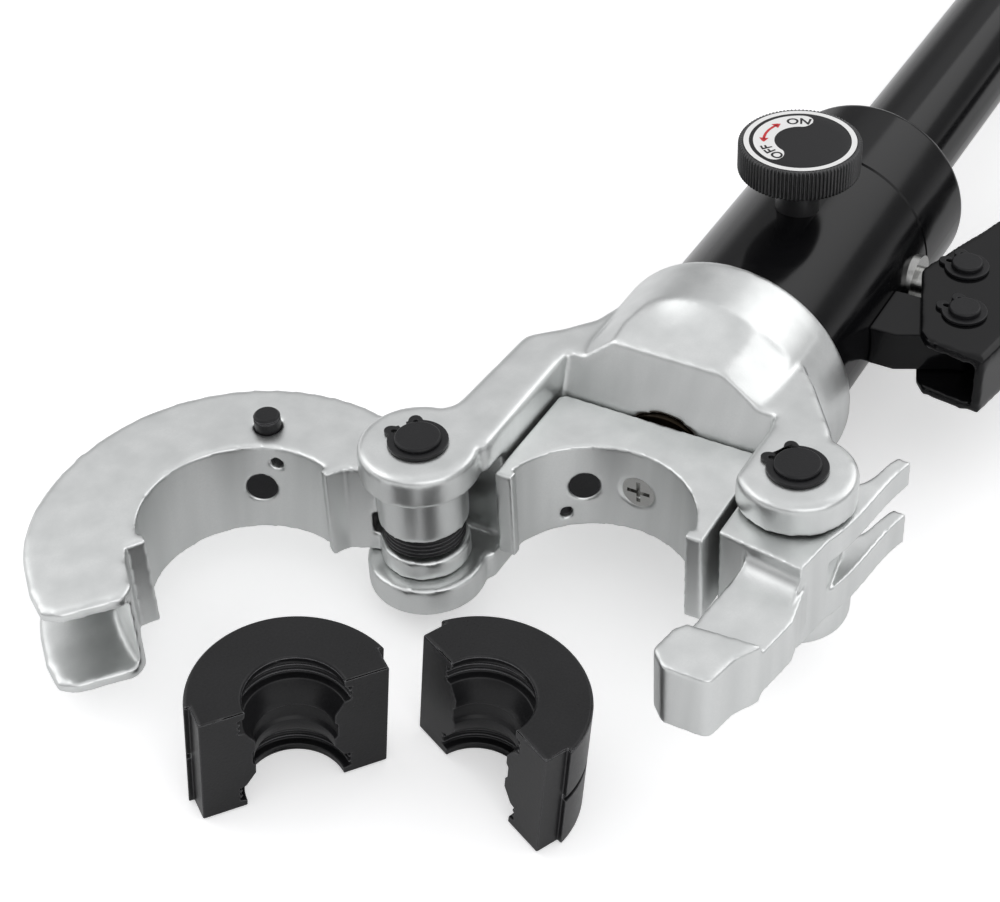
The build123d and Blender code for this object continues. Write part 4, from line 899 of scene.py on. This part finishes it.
# Knob
def make_knob():
    """Knurled knob: a turned profile whose rim falls by depth * (1 - |sin(flutes * t / 2)| ^ power)."""
    base = KNOB_TOP - KNOB_T
    middle = KNOB_R - KNOB_EDGE
    corner = [
        (middle + KNOB_EDGE * math.cos(a), KNOB_TOP - KNOB_EDGE + KNOB_EDGE * math.sin(a))
        for a in np.linspace(0, KNOB_SWEEP, 6)
    ]
    foot = [
        (middle + KNOB_EDGE * math.cos(a), base + KNOB_EDGE - KNOB_EDGE * math.sin(a))
        for a in np.linspace(KNOB_SWEEP, 0, 6)
    ]
    profile = [
        (STEM_R, base + 1), (STEM_R + 0.3, base), (KNOB_R - 3, base), *foot,
        (KNOB_R, base + KNOB_T * 0.35), (KNOB_R, base + KNOB_T * 0.65), *corner,
        (KNOB_R - 1.5, KNOB_TOP), (KNOB_R - 1.6, KNOB_TOP - 0.35), (KNOB_R - 6, KNOB_TOP - 0.4),
        (0.02, KNOB_TOP - 0.4),
    ]
    points = turned_profile(profile, FLUTES * FLUTE_STEPS)
    angle = np.linspace(0, 2 * math.pi * FLUTES, FLUTES * FLUTE_STEPS, endpoint=False)
    wave = 1 - np.abs(np.sin(angle / 2)) ** FLUTE_POWER
    radius = np.array(profile, float)[:, 0]
    share = rising(radius - KNOB_R, -RIM_WIDTH, RIM_BLEND)
    points[..., :2] *= 1 - (FLUTE_DEPTH / KNOB_R) * share[:, None, None] * wave[None, :, None]
    mesh = grid_mesh("knob_knurled", placed_points(points, KNOB), close_across=True)
    knob = new_object("knob_knurled", mesh, "knob", KNOB_METAL, ("release_knob",))
    solid = knob.modifiers.new("smooth_edges", "WEIGHTED_NORMAL")
    solid.keep_sharp = True
    return knob


def flat_band(inner, outer, start, end, up, steps, name, material, rounded_ends=False):
    """Flat part of a ring: points r * (cos t, sin t) with r between two radii and t between two angles.

    With rounded ends, the band's half width w shrinks near each end as sqrt(w^2 - d^2), d being the length
    of arc past the last full width.
    """
    t = np.radians(np.linspace(start, end, steps))
    middle = (inner + outer) / 2
    half = np.full(steps, (outer - inner) / 2)
    if rounded_ends:
        run = np.minimum(t - t[0], t[-1] - t) * middle
        full = (outer - inner) / 2
        past = np.clip(full - run, 0, full)
        half = np.sqrt(np.maximum(full**2 - past**2, 1e-6))
    side = np.linspace(-1, 1, 3)
    radius = middle + side[:, None] * half[None, :]
    points = np.stack([
        radius * np.cos(t), radius * np.sin(t), np.full_like(radius, KNOB_TOP + up),
    ], axis=-1)
    mesh = grid_mesh(name, placed_points(points[::-1], KNOB))
    return new_object(name, mesh, "knob", material)


def make_word(word, at, name):
    """Black printed word on the band, its letters' tops outwards, set at an angle round the disc."""
    curve = bpy.data.curves.new(name, "FONT")
    curve.body = word
    curve.align_x = "CENTER"
    curve.align_y = "CENTER"
    curve.size = LETTER_H * LETTER_SCALE
    curve.offset = LETTER_BOLD
    curve.space_character = LETTER_SPACE
    helper = bpy.data.objects.new(name, curve)
    mesh = bpy.data.meshes.new_from_object(helper)
    bpy.data.objects.remove(helper)
    middle = (BAND_INNER + BAND_OUTER) / 2
    count = len(mesh.vertices)
    flat = np.empty(count * 3, np.float32)
    mesh.vertices.foreach_get("co", flat)
    flat = flat.reshape(-1, 3).astype(float)
    flat[:, :2] -= (flat[:, :2].min(0) + flat[:, :2].max(0)) / 2
    angle = math.radians(at) - flat[:, 0] / middle
    radius = middle + flat[:, 1]
    bent = np.stack([
        radius * np.cos(angle), radius * np.sin(angle), np.full(count, KNOB_TOP + 3 * PRINT_STEP),
    ], axis=-1)
    mesh.vertices.foreach_set("co", placed_points(bent, KNOB).ravel())
    mesh.update()
    return new_object(name, mesh, "knob", PRINT_BLACK)


def make_arrow():
    """Red arrow with a head at each end, bent along the middle of the band."""
    middle = (BAND_INNER + BAND_OUTER) / 2
    head = math.degrees(ARROW_HEAD / middle)
    tuck = head * ARROW_TUCK
    flat_band(
        middle - ARROW_LINE / 2, middle + ARROW_LINE / 2, ARROW_START + tuck, ARROW_END - tuck,
        3 * PRINT_STEP, 16, "arrow_line", PRINT_RED,
    )
    for name, tip, turn in (("arrow_head_on", ARROW_START, 1), ("arrow_head_off", ARROW_END, -1)):
        along = np.array([0.0, 0.35, 1.0])
        t = np.radians(tip + turn * head * along)
        wide = np.array([0.0, 0.45, 1.0]) * ARROW_HEAD * ARROW_WIDE
        radius = middle + np.array([-1.0, 0.0, 1.0])[:, None] * wide[None, :]
        points = np.stack([
            radius * np.cos(t), radius * np.sin(t), np.full_like(radius, KNOB_TOP + 3 * PRINT_STEP),
        ], axis=-1)
        order = points[::-1] if turn > 0 else points
        mesh = grid_mesh(name, placed_points(order, KNOB))
        new_object(name, mesh, "knob", PRINT_RED)


def make_knob_disc():
    """Black disc let into the knob, with a white ring and a white band that ends round at each word."""
    disc = turned_profile([
        (KNOB_R - 1.75, KNOB_TOP - 0.45), (KNOB_R - 1.75, KNOB_TOP - 0.06), (KNOB_R - 1.85, KNOB_TOP),
        (KNOB_R - 8, KNOB_TOP), (0.02, KNOB_TOP),
    ], 120)
    mesh = grid_mesh("knob_disc", placed_points(disc, KNOB), close_across=True)
    new_object("knob_disc", mesh, "knob", PRINT_BLACK, ("knob_face",))
    flat_band(RING_INNER, RING_OUTER, 0, 360, PRINT_STEP, 121, "printed_ring", PRINT_WHITE)
    flat_band(
        BAND_INNER, BAND_OUTER, BAND_START, BAND_END, 2 * PRINT_STEP, 97, "printed_band", PRINT_WHITE,
        rounded_ends=True,
    )
    make_word("ON", ON_AT, "word_on")
    make_word("OFF", OFF_AT, "word_off")
    make_arrow()


make_knob()
make_knob_disc()

# Rounded copies of the forged, machined and painted parts
make_yoke()
make_latch()
make_jaw()
make_block()
make_bracket()
make_spring()
for node, spot, turn in DIE_PLACES:
    make_die(node, spot, turn)
for node, width in PAINTED_EDGES:
    rounded(node, node + "_painted", GLOSS_PAINT, width)
for pin, x, y, radius in CLIPPED_PINS:
    for end in ("upper", "lower"):
        widened_clip(f"{pin}_clip_{end}", x, y, radius)
for node in ("hinge_pin", "latch_pin", "pivot_pin", "plunger_pin", "jaw_button"):
    rounded(node, node + "_black", BLACK_STEEL, PIN_BREAK, 2)

# Finishes of the parts that keep their own solids
KEPT = (
    (BLACK_STEEL, ("jaw_detent", "jaw_set_screw", "block_detent", "block_set_screw")),
    (BRIGHT_STEEL, (
        "block_screw", "pump_plunger", "plunger_gland", "ram_piston",
        "delivery_ball", "intake_ball", "valve_ball",
    )),
    (SPRING_STEEL, ("latch_spring", "button_spring", "return_spring")),
    (GLOSS_PAINT, ("cylinder_body", "end_cap", "handle_tube", "moving_tube", "handle_plug", "lever_plug")),
    (STEM_STEEL, ("valve_stem",)),
    (BRONZE, ("rod_bush",)),
    (GRIP_RUBBER, ("handle_grip", "moving_grip")),
    (SEAL_RUBBER, ("piston_seal", "rod_seal", "cap_ring", "oil_bladder", "stem_ring")),
)
for material, names in KEPT:
    for node in names:
        mesh = frame["nodes"][node].data
        mesh.materials.clear()
        mesh.materials.append(material)


# Studio
def make_floor():
    """White floor that keeps the object's shadow: pale to the light, and lifted to white for the eye."""
    half = FLOOR_HALF
    corners = [(-half, -half, 0), (half, -half, 0), (half, half, 0), (-half, half, 0)]
    mesh = bpy.data.meshes.new("studio_floor")
    mesh.from_pydata(corners, [], [(0, 1, 2, 3)])
    floor = bpy.data.objects.new("studio_floor", mesh)
    bpy.context.scene.collection.objects.link(floor)
    floor.location.z = -FLOOR_DROP
    material = bpy.data.materials.new("studio_floor")
    material.use_nodes = True
    tree = material.node_tree
    shader = tree.nodes["Principled BSDF"]
    shader.inputs["Base Color"].default_value = (0.88, 0.88, 0.88, 1)
    shader.inputs["Roughness"].default_value = 0.7
    shader.inputs["Specular IOR Level"].default_value = 0.1
    shader.inputs["Emission Color"].default_value = (1, 1, 1, 1)
    path = tree.nodes.new("ShaderNodeLightPath")
    bounced = math_node(tree, "MAXIMUM", path.outputs["Is Glossy Ray"], path.outputs["Is Transmission Ray"])
    seen = math_node(tree, "MULTIPLY", path.outputs["Is Camera Ray"], FLOOR_LIFT)
    lift = math_node(tree, "MAXIMUM", seen, math_node(tree, "MULTIPLY", bounced, FLOOR_SHEEN))
    tree.links.new(lift, shader.inputs["Emission Strength"])
    mesh.materials.append(material)


def make_world():
    """Studio walls: white to the eye, graded from floor to ceiling in reflections, plain light otherwise."""
    world = bpy.data.worlds.new("studio_walls")
    bpy.context.scene.world = world
    world.use_nodes = True
    tree = world.node_tree
    ground = tree.nodes["Background"]
    ground.inputs["Strength"].default_value = 1.0
    place = tree.nodes.new("ShaderNodeTexCoord")
    parts = tree.nodes.new("ShaderNodeSeparateXYZ")
    tree.links.new(place.outputs["Generated"], parts.inputs["Vector"])
    ramp = tree.nodes.new("ShaderNodeValToRGB")
    tree.links.new(parts.outputs["Z"], ramp.inputs["Fac"])
    while len(ramp.color_ramp.elements) < len(WALL_LEVELS):
        ramp.color_ramp.elements.new(0.5)
    for element, (spot, level) in zip(ramp.color_ramp.elements, WALL_LEVELS):
        element.position = spot
        element.color = (level, level, level * 1.01, 1)
    path = tree.nodes.new("ShaderNodeLightPath")
    plain = blend_colours(tree, path.outputs["Is Glossy Ray"], WALL_PLAIN, ramp.outputs["Color"])
    white = blend_colours(tree, path.outputs["Is Camera Ray"], plain, (1.0, 1.0, 1.0))
    tree.links.new(white, ground.inputs["Color"])


def softbox(name, spot, aim, width, height, power):
    """Rectangular lamp at a spot, aimed at another."""
    light = bpy.data.lights.new(name, "AREA")
    light.shape = "RECTANGLE"
    light.size = width
    light.size_y = height
    light.energy = power
    lamp = bpy.data.objects.new(name, light)
    bpy.context.scene.collection.objects.link(lamp)
    lamp.location = spot
    lamp.rotation_euler = (Vector(aim) - Vector(spot)).to_track_quat("-Z", "Y").to_euler()


def make_camera():
    """Camera where the photograph was taken from, set by its right and forward directions."""
    forward = CAMERA_FORWARD.normalized()
    up = CAMERA_RIGHT.cross(forward).normalized()
    right = forward.cross(up)
    data = bpy.data.cameras.new("photo_camera")
    data.sensor_width = SENSOR
    data.lens = CAMERA_LENS
    data.clip_start = 0.01
    camera = bpy.data.objects.new("photo_camera", data)
    bpy.context.scene.collection.objects.link(camera)
    turn = Matrix((right, up, -forward)).transposed().to_4x4()
    camera.matrix_world = Matrix.Translation(CAMERA_SPOT) @ turn
    bpy.context.scene.camera = camera


make_floor()
make_world()
for lamp in SOFTBOXES:
    softbox(*lamp)
make_camera()
bpy.context.scene.view_settings.view_transform = "Standard"
